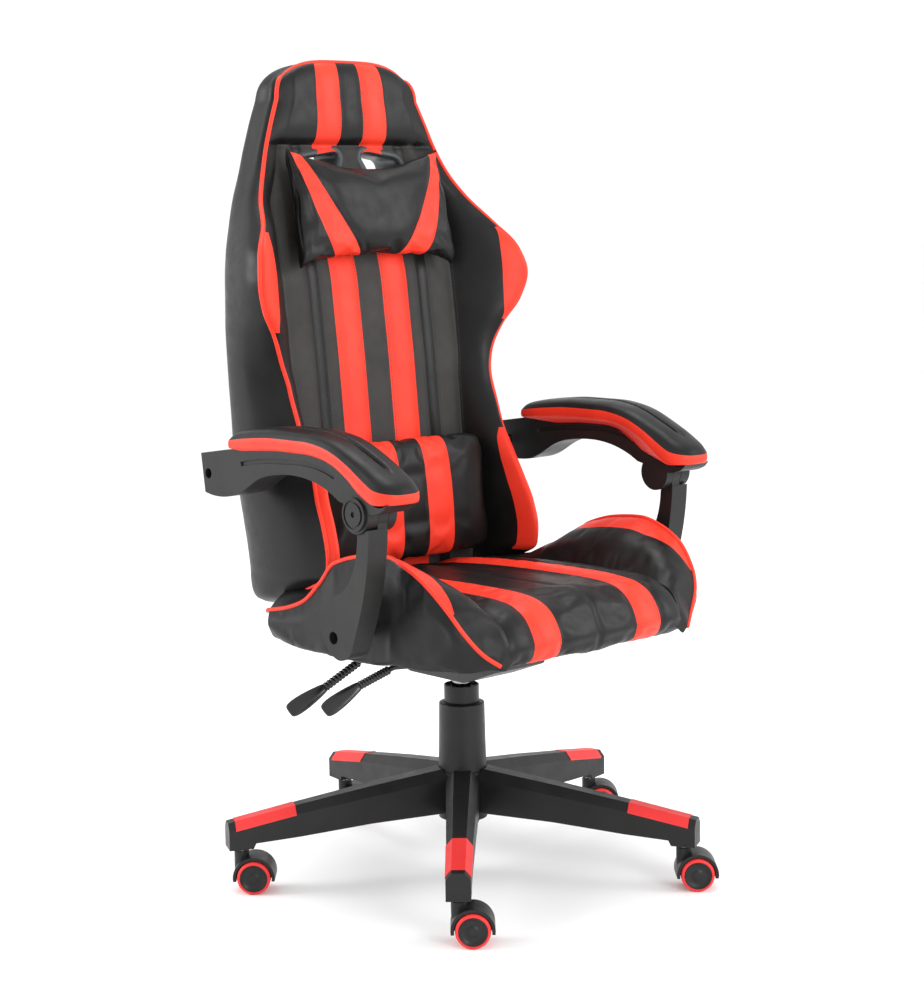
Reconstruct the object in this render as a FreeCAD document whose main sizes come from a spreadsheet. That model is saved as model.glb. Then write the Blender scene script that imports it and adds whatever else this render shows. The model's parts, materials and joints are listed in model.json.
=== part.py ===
"""Racing-style office chair: five-star base, gas lift, reclining backrest and linked armrests.

Millimetres, +Z up. The origin is on the floor, on the axis of the gas lift. The chair faces -Y, so the
sitter's right hand is on -X. Each sub-part is one document object whose Label is its name.
"""
import FreeCAD, Part
import math
import os

from FreeCAD import Placement, Rotation, Vector

# ---------------------------------------------------------------------------------------------------
# Driving dimensions: alias, value in millimetres or degrees, meaning
# ---------------------------------------------------------------------------------------------------
DIMENSIONS = (
    ("stem_circle", 345, "caster stems from the column axis"),
    ("first_leg_angle", -133.7, "direction of leg 1 in plan"),
    ("leg_reach", 366, "tip of a leg from the column axis"),
    ("leg_skin", 3.5, "wall of the hollow legs"),
    ("hub_radius", 37, "boss in the middle of the base"),
    ("hub_bottom", 82, "underside of the hub"),
    ("hub_top", 156, "top of the hub"),
    ("insert_start", 264, "inner end of a leg's coloured insert"),
    ("insert_end", 356, "outer end of a leg's coloured insert"),
    ("insert_drop", 13, "how far an insert wraps down the leg's flanks"),
    ("wheel_radius", 25, "caster wheel"),
    ("wheel_inner_face", 5, "gap between a twin wheel and the middle of its housing"),
    ("wheel_outer_face", 27, "outer face of a twin wheel"),
    ("wheel_trail", 19, "wheel axle behind the stem"),
    ("trail_angle", -42.4, "direction in plan in which the casters trail at rest"),
    ("axle_radius", 4, "caster axle"),
    ("stem_radius", 5.5, "caster stem"),
    ("running_gap", 0.06, "radial clearance of a shaft in its bore"),
    ("cylinder_radius", 25, "outer tube of the gas lift"),
    ("tube_radius", 14, "chromed tube of the gas lift"),
    ("rod_radius", 5, "piston rod of the gas lift"),
    ("cylinder_top", 284, "top of the gas lift's outer tube"),
    ("housing_bottom", 306, "underside of the mechanism"),
    ("plate_top", 375, "top of the mechanism plate and underside of the seat"),
    ("plate_thickness", 4, "mechanism plate"),
    ("housing_width", 100, "mechanism housing across"),
    ("recline_y", 135, "recline pin behind the column axis"),
    ("recline_z", 350, "recline pin above the floor"),
    ("pin_radius", 6, "recline pin"),
    ("seat_front", -290, "front of the seat"),
    ("seat_rear", 150, "rear of the seat"),
    ("seat_top", 461, "top of the seat cushion"),
    ("cushion_half", 175, "half width of the seat cushion between its bolsters"),
    ("rail_half", 225, "outer face of the seat frame's side rails"),
    ("panel_half", 170, "half width of the backrest's middle panel"),
    ("wing_bottom", 468, "lower end of the backrest's wings"),
    ("head_bottom", 978, "lower end of the headrest"),
    ("frame_tube", 9, "radius of the backrest frame's tube"),
    ("tube_wall", 1.6, "wall of the steel tubes"),
    ("foam_gap", 1, "room between a frame and the foam around it"),
    ("arm_outer", 324, "outer face of an armrest"),
    ("arm_inner", 272, "inner face of an armrest"),
    ("pad_outer", 331, "outer edge of an armrest pad"),
    ("pad_inner", 255, "inner edge of an armrest pad"),
    ("post_outer", 321, "outer face of an armrest post"),
    ("post_inner", 287, "inner face of an armrest post"),
    ("post_foot_y", -91, "lower pivot of a post"),
    ("post_foot_z", 419, "lower pivot of a post"),
    ("elbow_y", -147, "pivot between post and armrest"),
    ("elbow_z", 597, "pivot between post and armrest"),
    ("elbow_radius", 27, "barrel of the elbow"),
    ("arm_tail_y", 187, "bolt that ties an armrest to the backrest"),
    ("arm_tail_z", 625, "bolt that ties an armrest to the backrest"),
    ("bolt_radius", 4, "shank of the M8 bolts"),
    ("lever_z", 345, "levers where they leave the mechanism"),
)

X_AXIS = Rotation(Vector(0, 1, 0), 90)
Z_AXIS = Rotation()
SIDES = (("right", -1), ("left", 1))

doc = FreeCAD.newDocument("gaming_chair")
sheet = doc.addObject("Spreadsheet::Sheet", "Sizes")
nodes = []


def fill_sheet():
    for row, (alias, value, meaning) in enumerate(DIMENSIONS, start=1):
        sheet.set(f"A{row}", meaning)
        sheet.set(f"B{row}", str(value))
        sheet.setAlias(f"B{row}", alias)
    doc.recompute()


def size(alias):
    return float(sheet.get(alias))


def cell(alias):
    return f"Sizes.{alias}"


# ---------------------------------------------------------------------------------------------------
# Builders
# ---------------------------------------------------------------------------------------------------
def node(label, obj):
    """Make obj the sub-part called label."""
    obj.Label = label
    nodes.append(obj)
    return obj


def shaped(label, shape):
    """A sub-part whose shape is worked out from the sheet."""
    feature = doc.addObject("Part::Feature", label)
    feature.Shape = shape
    return node(label, feature)


def place(obj, at):
    for axis, expression in zip("xyz", at):
        obj.setExpression(f".Placement.Base.{axis}", str(expression))


def cylinder(name, radius, height, at, turn=Z_AXIS):
    obj = doc.addObject("Part::Cylinder", name)
    obj.setExpression("Radius", str(radius))
    obj.setExpression("Height", str(height))
    obj.Placement = Placement(Vector(), turn)
    place(obj, at)
    return obj


def box(name, length, width, height, at):
    obj = doc.addObject("Part::Box", name)
    obj.setExpression("Length", str(length))
    obj.setExpression("Width", str(width))
    obj.setExpression("Height", str(height))
    place(obj, at)
    return obj


def cut(name, base, tool):
    obj = doc.addObject("Part::Cut", name)
    obj.Base = base
    obj.Tool = tool
    return obj


def fuse(name, *pieces):
    obj = doc.addObject("Part::MultiFuse", name)
    obj.Shapes = list(pieces)
    return obj


def group(name, *pieces):
    obj = doc.addObject("Part::Compound", name)
    obj.Links = list(pieces)
    return obj


def rounded(points, lift=lambda a, b: Vector(a, b, 0)):
    """Edges of a closed outline. A point (a, b, r) has its corner rounded with radius r."""
    corners = []
    count = len(points)
    for index, point in enumerate(points):
        here = Vector(point[0], point[1], 0)
        radius = point[2] if len(point) > 2 else 0
        before = Vector(*points[index - 1][:2], 0)
        after = Vector(*points[(index + 1) % count][:2], 0)
        inward = (before - here).normalize()
        outward = (after - here).normalize()
        if not radius:
            corners.append((here, None, here))
            continue
        half = inward.getAngle(outward) / 2
        reach = radius / math.tan(half)
        middle = here + (inward + outward).normalize() * (radius / math.sin(half) - radius)
        corners.append((here + inward * reach, middle, here + outward * reach))
    edges = []
    for index, (start, middle, end) in enumerate(corners):
        if middle:
            edges.append(Part.Arc(lift(*start[:2]), lift(*middle[:2]), lift(*end[:2])))
        following = corners[(index + 1) % count][0]
        if (following - end).Length > 1e-6:
            edges.append(Part.LineSegment(lift(*end[:2]), lift(*following[:2])))
    return edges


def sketch_in(body, name, plane, points):
    """A closed outline in one of the body's own origin planes."""
    sketch = body.newObject("Sketcher::SketchObject", name)
    support = [item for item in body.Origin.OriginFeatures if item.Role == plane][0]
    sketch.AttachmentSupport = (support, [""])
    sketch.MapMode = "FlatFace"
    sketch.addGeometry(rounded(points), False)
    return sketch


def turned(label, profile):
    """A body of revolution about +Z from (radius, height) points."""
    body = doc.addObject("PartDesign::Body", label)
    sketch = sketch_in(body, f"{label}_profile", "XZ_Plane", profile)
    solid = body.newObject("PartDesign::Revolution", f"{label}_turned")
    solid.Profile = sketch
    solid.ReferenceAxis = (sketch, ["V_Axis"])
    solid.Angle = 360
    return body


def side_plate(label, profile, width, middle):
    """A body padded along X from a (y, z) profile, with its middle at x = middle."""
    body = doc.addObject("PartDesign::Body", label)
    sketch = sketch_in(body, f"{label}_profile", "YZ_Plane", profile)
    pad = body.newObject("PartDesign::Pad", f"{label}_pad")
    pad.Profile = sketch
    pad.Midplane = True
    pad.setExpression("Length", str(width))
    body.setExpression(".Placement.Base.x", str(middle))
    return body


def loft(sections):
    """A solid skinned straight from polygon to polygon."""
    wires = [Part.makePolygon(points + [points[0]]) for points in sections]
    return Part.makeLoft(wires, True, True)


def slab(low, high):
    return Part.makeBox(high[0] - low[0], high[1] - low[1], high[2] - low[2], Vector(*low))


def bar(radius, start, end):
    start = Vector(*start)
    run = Vector(*end) - start
    return Part.makeCylinder(radius, run.Length, start, run)


def swept(route, radius):
    """A round bar along straight runs joined by arcs: route holds (x, y, z, bend radius)."""
    points = [Vector(*stop[:3]) for stop in route]
    edges = []
    last = points[0]
    for index in range(1, len(points) - 1):
        here = points[index]
        inward = (points[index - 1] - here).normalize()
        outward = (points[index + 1] - here).normalize()
        half = inward.getAngle(outward) / 2
        bend = route[index][3]
        reach = bend / math.tan(half)
        start = here + inward * reach
        end = here + outward * reach
        middle = here + (inward + outward).normalize() * (bend / math.sin(half) - bend)
        edges.append(Part.LineSegment(last, start).toShape())
        edges.append(Part.Arc(start, middle, end).toShape())
        last = end
    edges.append(Part.LineSegment(last, points[-1]).toShape())
    path = Part.Wire(edges)
    section = Part.Wire(Part.makeCircle(radius, points[0], points[1] - points[0]))
    return path.makePipeShell([section], True, False)


def interpolate(stations, at):
    """Values of a table of (position, a, b, ...) rows at a position between two of them."""
    for lower, upper in zip(stations, stations[1:]):
        if at <= upper[0]:
            share = (at - lower[0]) / (upper[0] - lower[0])
            return [a + (b - a) * share for a, b in zip(lower[1:], upper[1:])]
    return list(stations[-1][1:])


# ---------------------------------------------------------------------------------------------------
# Base and gas lift
# ---------------------------------------------------------------------------------------------------
# radius from the column, underside, top, half width, drop of the chamfered flank
LEG_STATIONS = (
    (28, 95, 162, 25, 15),
    (150, 89, 144, 22, 14),
    (260, 79, 126, 19, 12),
    (326, 75, 114, 18, 11),
    (330, 67, 113.4, 18, 11),
    (366, 67, 107, 17.5, 10),
)


def leg_angles():
    return [size("first_leg_angle") + 72 * index for index in range(5)]


def leg_section(radius, inset):
    underside, top, half, drop = interpolate(LEG_STATIONS, radius)
    half -= inset
    top -= inset
    ridge = half * 0.52
    outline = ((-half, underside), (-half, top - drop), (-ridge, top), (ridge, top), (half, top - drop),
               (half, underside))
    return [Vector(radius, y, z) for y, z in outline]


def leg_bar(start, end, inset):
    """Length of leg along +X between two radii, made smaller all round by inset."""
    stops = [start] + [row[0] for row in LEG_STATIONS if start < row[0] < end] + [end]
    return loft([leg_section(radius, inset) for radius in stops])


def insert_zone():
    """Where the coloured insert sits: the top of the leg's outer end."""
    start = size("insert_start")
    end = size("insert_end")
    drop = size("insert_drop")
    stops = []
    for radius in (start, end):
        top = interpolate(LEG_STATIONS, radius)[1]
        outline = ((-40, top - drop), (-40, top + 20), (40, top + 20), (40, top - drop))
        stops.append([Vector(radius, y, z) for y, z in outline])
    return loft(stops)


def one_leg():
    outer = leg_bar(28, size("leg_reach"), 0)
    hollow = leg_bar(60, 322, size("leg_skin")).translated(Vector(0, 0, -1))
    recess = leg_bar(250, size("leg_reach"), -2).cut(leg_bar(250, size("leg_reach"), 2.5))
    leg = outer.cut(hollow).cut(recess.common(insert_zone()))
    core = leg_bar(size("insert_start") - 3, 322, 2.5)
    core = core.cut(leg_bar(250, 322, 5.5).translated(Vector(0, 0, -1)))
    return leg.fuse(core)


def stem_socket():
    bore = size("stem_radius") + size("running_gap")
    return Part.makeCylinder(bore, 40, Vector(size("stem_circle"), 0, 58))


def build_base():
    leg = one_leg().cut(stem_socket())
    bottom = size("hub_bottom")
    hub = Part.makeCylinder(size("hub_radius"), size("hub_top") - bottom, Vector(0, 0, bottom))
    legs = [leg.rotated(Vector(), Vector(0, 0, 1), angle) for angle in leg_angles()]
    bore = Part.makeCylinder(size("cylinder_radius") + 0.4, 120, Vector(0, 0, 60))
    seat_for_cover = Part.makeCylinder(size("hub_radius") + 1, 20, Vector(0, 0, size("hub_top")))
    star = hub.multiFuse(legs).cut(bore).cut(seat_for_cover)
    shaped("star_base", star.removeSplitter())

    start = size("insert_start") + 0.4
    end = size("insert_end") - 0.4
    skin = leg_bar(start, end, -0.8).cut(leg_bar(start - 5, end + 5, 2.3)).common(insert_zone())
    caps = [skin.rotated(Vector(), Vector(0, 0, 1), angle) for angle in leg_angles()]
    shaped("leg_inserts", Part.makeCompound(caps))


def build_gas_lift():
    outer = size("cylinder_radius")
    bush = size("tube_radius") + size("running_gap")
    rod_hole = size("rod_radius") + size("running_gap")
    top = size("cylinder_top")
    node("gas_cylinder", turned("gas_cylinder", (
        (rod_hole, 72), (outer - 1, 72), (outer, 76), (outer, 150), (outer - 1, 152), (outer - 1, top),
        (bush, top), (bush, top - 22), (17, top - 26), (17, 82), (rod_hole, 82))))
    node("lower_column_cover", turned("lower_column_cover", (
        (33.5, 156.5), (36.5, 156.5), (34.6, 260, 2), (27, 262), (27, 259.5), (32, 259.5))))
    node("upper_column_cover", turned("upper_column_cover", (
        (24.6, 240), (26.6, 240), (26.6, 288, 1), (24.6, 288))))
    node("piston_rod", turned("piston_rod", (
        (0, 70), (5, 70), (5, 288), (11.2, 288), (11.2, 300), (0, 300))))
    node("thrust_bearing", turned("thrust_bearing", ((5.4, 82), (12, 82), (12, 87), (5.4, 87))))
    node("gas_tube", turned("gas_tube", (
        (rod_hole, 120), (14, 120), (14, 338, 1), (4.06, 338), (4.06, 322), (11.5, 322), (11.5, 132),
        (rod_hole, 132))))
    node("valve_pin", turned("valve_pin", ((0, 323.5), (4, 323.5), (4, 342, 0.8), (0, 342))))


# ---------------------------------------------------------------------------------------------------
# Casters
# ---------------------------------------------------------------------------------------------------
def build_caster(number, leg_angle):
    """Twin-wheel caster: drawn with its stem on Z and its wheels trailing along +X, then placed."""
    trail = size("wheel_trail")
    hub_height = size("wheel_radius")
    dome = Part.makeCylinder(31, 46, Vector(trail, -23, hub_height), Vector(0, 1, 0))
    dome = dome.common(slab((-20, -30, 20), (60, 30, 80)))
    well = hub_height + 1.5
    for side in (-1, 1):
        room = Part.makeCylinder(well, 40, Vector(trail, 4 * side, hub_height), Vector(0, side, 0))
        dome = dome.cut(room)
    boss = Part.makeCylinder(11, 36, Vector(0, 0, 26)).cut(
        Part.makeCylinder(well, 80, Vector(trail, -40, hub_height), Vector(0, 1, 0)))
    web = slab((-6, -4, 26), (trail, 4, 44))
    stem_hole = Part.makeCylinder(size("stem_radius") + 0.1, 60, Vector(0, 0, 40))
    axle_hole = bar(size("axle_radius") + 0.1, (trail, -30, hub_height), (trail, 30, hub_height))
    hood = dome.fuse([boss, web]).cut(stem_hole).cut(axle_hole).removeSplitter()

    stem = Part.makeCylinder(size("stem_radius"), 48.5, Vector(0, 0, 44))
    axle = Part.makeCylinder(size("axle_radius"), 46, Vector(trail, -23, hub_height), Vector(0, 1, 0))

    rim = size("wheel_radius")
    inner = size("wheel_inner_face")
    outer = size("wheel_outer_face")
    bore = size("axle_radius") + size("running_gap")
    profile = ((0, outer - 3), (bore, outer - 3), (bore, inner), (rim - 1.5, inner, 1), (rim, inner + 1.5, 1),
               (rim, outer - 5, 3), (rim - 3, outer - 1, 2), (19, outer - 0.3), (18, outer - 1.6),
               (0, outer - 1.6))
    wire = Part.Wire([edge.toShape() for edge in rounded(profile, lambda a, b: Vector(a, 0, b))])
    wheel = Part.Face(wire).revolve(Vector(), Vector(0, 0, 1), 360)
    wheels = []
    for turn in (-90, 90):
        one = wheel.rotated(Vector(), Vector(1, 0, 0), turn)
        wheels.append(one.translated(Vector(trail, 0, hub_height)))

    spot = Vector(size("stem_circle") * math.cos(math.radians(leg_angle)),
                  size("stem_circle") * math.sin(math.radians(leg_angle)), 0)
    place_at = Placement(spot, Rotation(Vector(0, 0, 1), size("trail_angle")))
    for name, shape in (("hood", hood), ("pins", Part.makeCompound([stem, axle])),
                        ("wheels", Part.makeCompound(wheels))):
        shaped(f"caster_{name}_{number}", shape).Placement = place_at


# ---------------------------------------------------------------------------------------------------
# Mechanism and levers
# ---------------------------------------------------------------------------------------------------
def build_mechanism():
    bottom = size("housing_bottom")
    top = size("plate_top") - size("plate_thickness")
    outline = ((-130, top), (152, top), (152, 330, 6), (118, 322), (60, bottom, 10), (-60, bottom, 10),
               (-130, bottom + 26, 8))
    room = ((-127, top + 5), (160, top + 5), (160, 334), (118, 325.2), (59, bottom + 3), (-59, bottom + 3),
            (-127, bottom + 28))
    shell = side_plate("housing_shell", outline, cell("housing_width"), 0)
    hollow = side_plate("housing_room", room, f"{cell('housing_width')} - 6", 0)
    boss = cylinder("housing_boss", 21, 30, (0, 0, cell("housing_bottom")))
    tube_hole = cylinder("housing_tube_hole", f"{cell('tube_radius')} + 0.05", 60, (0, 0, 290))
    pin_hole = cylinder("housing_pin_hole", f"{cell('pin_radius')} + 0.1", 140,
                        (-70, cell("recline_y"), cell("recline_z")), X_AXIS)
    lever_slot = box("housing_lever_slot", 20, 26, 22, (-60, -29, 336))
    tray = fuse("housing_tray", cut("housing_open", shell, hollow), boss)
    openings = fuse("housing_openings", tube_hole, pin_hole, lever_slot)
    node("mechanism_housing", cut("housing", tray, openings))

    plate = box("plate_blank", 190, 220, cell("plate_thickness"),
                (-95, -110, f"{cell('plate_top')} - {cell('plate_thickness')}"))
    holes = [cylinder(f"plate_hole_{x}_{y}", f"{cell('bolt_radius')} + 0.3", 20, (x, y, 362), Z_AXIS)
             for x in (-75, 75) for y in (-75, 75)]
    bracket = box("plate_lever_bracket", 20, 4, 34, (-92, -109, 338))
    drilled = cut("plate_drilled", plate, fuse("plate_holes", *holes))
    node("mechanism_plate", fuse("plate", drilled, bracket))

    shank = cylinder("recline_pin_shank", cell("pin_radius"), 110,
                     (-55, cell("recline_y"), cell("recline_z")), X_AXIS)
    head = cylinder("recline_pin_head", 9, 4, (-59, cell("recline_y"), cell("recline_z")), X_AXIS)
    node("recline_pin", fuse("recline_pin", shank, head))
    coil = cylinder("spring_outside", 10.5, 60, (-30, cell("recline_y"), cell("recline_z")), X_AXIS)
    core = cylinder("spring_inside", 7, 70, (-35, cell("recline_y"), cell("recline_z")), X_AXIS)
    node("recline_spring", cut("recline_spring", coil, core))
    plates = [box(f"lock_plate_{index}", 2, 60, 40, (24 + 4 * index, 30, 324)) for index in range(4)]
    node("lock_plates", group("lock_plates", *plates))


def build_lever(name, hinge, bend, sleeve, tip, inner_end, pivot):
    """A steel rod with a ribbed plastic sleeve and paddle: points run outwards from the mechanism."""
    axis = (Vector(*sleeve) - Vector(*bend)).normalize()
    rod_end = Vector(*sleeve) - axis * 5
    rod = swept(((*inner_end, 0), (*hinge, 12), (*bend, 20), (*rod_end, 0)), 4)
    shaped(name, rod.fuse(bar(5, (pivot[0], pivot[1] - 6, pivot[2]), (pivot[0], pivot[1] + 6, pivot[2]))))
    start = Vector(*bend) + axis * 12
    tube = Part.makeCylinder(6.5, (Vector(*sleeve) - start).Length, start, axis)
    tube = tube.cut(Part.makeCylinder(4.2, (Vector(*sleeve) - start).Length + 1, start - axis * 1, axis))
    along = (Vector(*tip) - Vector(*sleeve)).normalize()
    across = along.cross(Vector(0, -0.8, 0.6)).normalize()
    up = across.cross(along)
    sections = []
    for share, half, low, high in ((0, 7, -5, 5), (0.3, 10, -6, 5), (0.75, 12.5, -5, 4), (1, 9, -3, 2)):
        centre = Vector(*sleeve) + (Vector(*tip) - Vector(*sleeve)) * share
        corners = ((-half, low), (-half, high * 0.4), (-half * 0.5, high), (half * 0.5, high),
                   (half, high * 0.4), (half, low))
        sections.append([centre + across * a + up * b for a, b in corners])
    shaped(f"{name}_grip", tube.fuse(loft(sections)))


def build_levers():
    level = size("lever_z")
    build_lever("height_lever", hinge=(-60, -18, level), bend=(-190, 4, 355), sleeve=(-250, 19, 320),
                tip=(-304, 36, 290), inner_end=(0, 0, level + 1.5), pivot=(-60, -18, level))
    build_lever("recline_lever", hinge=(-105, -96, 352), bend=(-198, -74, 356), sleeve=(-250, -59, 335),
                tip=(-302, -42, 303), inner_end=(-72, -100, 352), pivot=(-82, -98, 352))


# ---------------------------------------------------------------------------------------------------
# Seat
# ---------------------------------------------------------------------------------------------------
# distance along Y, cushion's height at the bolster, piping x and z, lower edge x and z
BOLSTER_STATIONS = (
    (-284, 430, 197, 398, 192, 386),
    (-262, 452, 236, 438, 222, 381),
    (-248, 457, 246, 460, 234, 380),
    (-209, 461, 257, 500, 248, 378),
    (-150, 461, 257, 528, 252, 375),
    (-85, 460, 260, 524, 254, 372),
    (-20, 457, 260, 508, 255, 371),
    (20, 455, 253, 474, 254, 371),
    (66, 453, 250, 440, 252, 371),
    (150, 446, 250, 405, 248, 377),
)


def seat_frame_boxes(gap):
    """Rails, cross members and bolt ears of the seat frame, each grown by gap."""
    low = size("plate_top") + 0.5
    out = size("rail_half")
    members = [((-out, -240, low), (-out + 20, 120, low + 40)), ((out - 20, -240, low), (out, 120, low + 40))]
    members += [((-out, y, low), (out, y + 20, low + 40)) for y in (-240, 100)]
    members += [((-out, y - 15, low), (out, y + 15, low + 20)) for y in (-75, 75)]
    foot = size("post_foot_y")
    members += [((side * out - 6 * (side > 0), foot - 22, low), (side * out + 6 * (side < 0), foot + 22, 440))
                for side in (-1, 1)]
    return [slab([value - gap for value in low_corner], [value + gap for value in high_corner])
            for low_corner, high_corner in members]


def merged(shapes):
    return shapes[0].multiFuse(shapes[1:]).removeSplitter()


def seat_webbing():
    bands = []
    for index in range(6):
        y = -190 + 50 * index
        bands.append(slab((-214, y, size("plate_top") + 40.6), (214, y + 32, size("plate_top") + 42.6)))
    return bands


def post_bolt(side, radius, start=216, end=300):
    foot = (size("post_foot_y"), size("post_foot_z"))
    return bar(radius, (side * start, *foot), (side * end, *foot))


def bolster(side):
    inner = size("cushion_half") + 0.2
    sections = []
    for y, cushion_z, pipe_x, pipe_z, edge_x, edge_z in BOLSTER_STATIONS:
        crest = min(pipe_x - 14, (pipe_x + inner) / 2 + 20)
        crest = max(crest, (pipe_x + inner) / 2)
        shoulder = (inner + crest) / 2
        outline = ((inner, edge_z), (inner, cushion_z), (shoulder, (cushion_z + pipe_z * 2) / 3),
                   (crest, pipe_z), (pipe_x, pipe_z - 6), (edge_x, edge_z))
        sections.append([Vector(side * x, y, z) for x, z in outline])
    return loft(sections)


def build_seat():
    rails = merged(seat_frame_boxes(-size("tube_wall")))
    frame = merged(seat_frame_boxes(0)).cut(rails)
    holes = [post_bolt(side, size("bolt_radius") + 0.1) for side in (-1, 1)]
    holes += [bar(size("bolt_radius") + 0.1, (x, y, 370), (x, y, 400)) for x in (-75, 75) for y in (-75, 75)]
    shaped("seat_frame", frame.cut(merged(holes)))
    shaped("seat_webbing", Part.makeCompound(seat_webbing()))

    top = size("seat_top")
    front = size("seat_front")
    rear = size("seat_rear")
    cushion = side_plate("cushion_block", (
        (front + 24, 378, 6), (front, 392, 12), (front, 428, 16), (front + 18, 448, 20),
        (front + 58, top, 30), (-60, top, 60), (rear - 30, top - 10, 30), (rear, top - 18, 8),
        (rear, 380, 6), (rear - 16, 375)), f"2 * {cell('cushion_half')}", 0)
    doc.recompute()
    channels = merged(seat_frame_boxes(0.5))
    cavity = slab((-205, -220, 360), (205, 100, size("plate_top") + 43.2))
    bands = slab((-219, -191, size("plate_top") + 39), (219, 93, size("plate_top") + 43.2))
    room = merged([channels, cavity, bands])
    shaped("seat_cushion", cushion.Shape.cut(room))
    for name, side in SIDES:
        shank_room = post_bolt(side, size("bolt_radius") + 1, 214).fuse(post_bolt(side, 10, 224))
        shaped(f"seat_bolster_{name}", bolster(side).cut(room).cut(shank_room))


def build_seat_bolts():
    shanks = []
    for x in (-75, 75):
        for y in (-75, 75):
            shank = bar(size("bolt_radius"), (x, y, 371), (x, y, 392))
            head = bar(6.5, (x, y, 365), (x, y, 371))
            shanks.append(shank.fuse(head))
    for side in (-1, 1):
        foot = (size("post_foot_y"), size("post_foot_z"))
        shank = post_bolt(side, size("bolt_radius"), end=304)
        head = bar(7, (side * 304, *foot), (side * 309, *foot))
        spacer = post_bolt(side, 9, size("rail_half") + 0.2, size("post_inner") - 0.3)
        shanks.append(shank.fuse([head, spacer]))
    shaped("seat_bolts", Part.makeCompound(shanks))


# ---------------------------------------------------------------------------------------------------
# Backrest
# ---------------------------------------------------------------------------------------------------
# height, piping x and y, middle panel's front y, widest point x and y, rear corner x, rear y
BACK_STATIONS = (
    (412, 206, 160, 150, 226, 172, 185, 235),
    (468, 212, 48, 153, 232, 160, 192, 247),
    (540, 211, 60, 161, 240, 170, 195, 262),
    (620, 203, 95, 169, 242, 190, 195, 279),
    (700, 202, 131, 177, 243, 198, 195, 285),
    (780, 212, 151, 185, 247, 205, 195, 286),
    (830, 238, 136, 191, 256, 196, 195, 287),
    (890, 267, 125, 199, 262, 180, 193, 288),
    (940, 258, 136, 210, 256, 188, 188, 290),
    (980, 230, 163, 219, 236, 206, 180, 293),
    (1020, 206, 199, 227, 213, 228, 168, 296),
    (1060, 184, 221, 236, 190, 240, 154, 298),
    (1100, 167, 233, 244, 171, 250, 140, 300),
    (1170, 138, 243, 247, 140, 262, 116, 300),
    (1210, 108, 251, 249, 110, 268, 88, 295),
    (1233, 62, 256, 253, 64, 270, 50, 286),
)


def rear_face(z):
    return interpolate(BACK_STATIONS, z)[6]


def front_panel(z):
    return interpolate(BACK_STATIONS, z)[2]


def back_section(row):
    z, pipe_x, pipe_y, panel_y, side_x, side_y, corner_x, rear_y = row
    panel_x = min(size("panel_half"), pipe_x * 0.82)
    half = ((panel_x, panel_y), (pipe_x - 12, pipe_y), (pipe_x, pipe_y + 7), (side_x, side_y),
            (corner_x, rear_y - 4), (corner_x * 0.6, rear_y))
    right = [Vector(x, y, z) for x, y in half]
    left = [Vector(-x, y, z) for x, y in reversed(half)]
    return right + left


def frame_tube(grow):
    """Inverted U of the back frame: its plane leans back, so y follows z."""
    def spot(x, z, bend):
        return (x, 200 + 0.0947 * (z - 430), z, bend)
    half = ((150, 432, 0), (152, 900, 400), (170, 1030, 70), (154, 1105, 70), (106, 1190, 45))
    route = [spot(-x, z, bend) for x, z, bend in half] + [spot(x, z, bend) for x, z, bend in reversed(half)]
    return swept(route, size("frame_tube") + grow)


def frame_members(grow):
    """Lower plate for the carrier and the cross member with an ear for each armrest bolt."""
    tail = size("arm_tail_y")
    height = size("arm_tail_z")
    members = [((-150, 198, 432), (150, 202, 518)), ((-236, 205, height - 10), (236, 225, height + 10))]
    members += [((side * 218 - 18, tail - 10, height - 10), (side * 218 + 18, 225, height + 10))
                for side in (-1, 1)]
    return [slab([value - grow for value in low], [value + grow for value in high]) for low, high in members]


def belt_hole(grow, start_y=None, depth=None):
    """Slanted opening on +X, as a prism along +Y from a face that leans with the panel."""
    corners = ((18, 1092, 7), (98, 1080, 16), (122, 990, 13), (74, 985, 12))
    middle = Vector(80, 1040, 0)
    points = []
    for x, z, radius in corners:
        away = Vector(x, z, 0) - middle
        away.multiply(1 + grow * 1.35 / away.Length)
        points.append((middle.x + away.x, middle.y + away.y, radius + grow))
    lean = (front_panel(1100) - front_panel(980)) / 120

    def lift(x, z):
        y = 120 if start_y is None else front_panel(980) + lean * (z - 980) + start_y
        return Vector(x, y, z)
    wire = Part.Wire([edge.toShape() for edge in flat_edges(points, lift)])
    return Part.Face(wire).extrude(Vector(0, depth or 300, 0))


def flat_edges(points, lift):
    """Rounded outline drawn flat, with each edge lifted into space as a line or a fine polyline."""
    edges = []
    for edge in rounded(points):
        shape = edge.toShape()
        stops = shape.discretize(2 if isinstance(edge, Part.LineSegment) else 9)
        for start, end in zip(stops, stops[1:]):
            edges.append(Part.LineSegment(lift(start.x, start.y), lift(end.x, end.y)))
    return edges


def mirrored(shape):
    return shape.mirror(Vector(), Vector(1, 0, 0))


def carrier_bolt_spots():
    return [(x, z) for x in (-22, 22) for z in (452, 500)]


def seat_clearance():
    """Room kept free for the seat: level between the wings, sloping under each wing's outer edge."""
    front = -100
    rear = size("seat_rear") + 5.5
    bottom = size("wing_bottom")
    slope = ((front, 380), (rear, 380), (rear, 424), (60, 453), (front, bottom))
    runs = list(zip(slope, slope[1:] + slope[:1]))
    middle = slab((-205, front, 380), (205, rear, bottom))
    return middle.multiFuse([arc_solid(runs, 204, 300, side) for name, side in SIDES])


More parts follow.
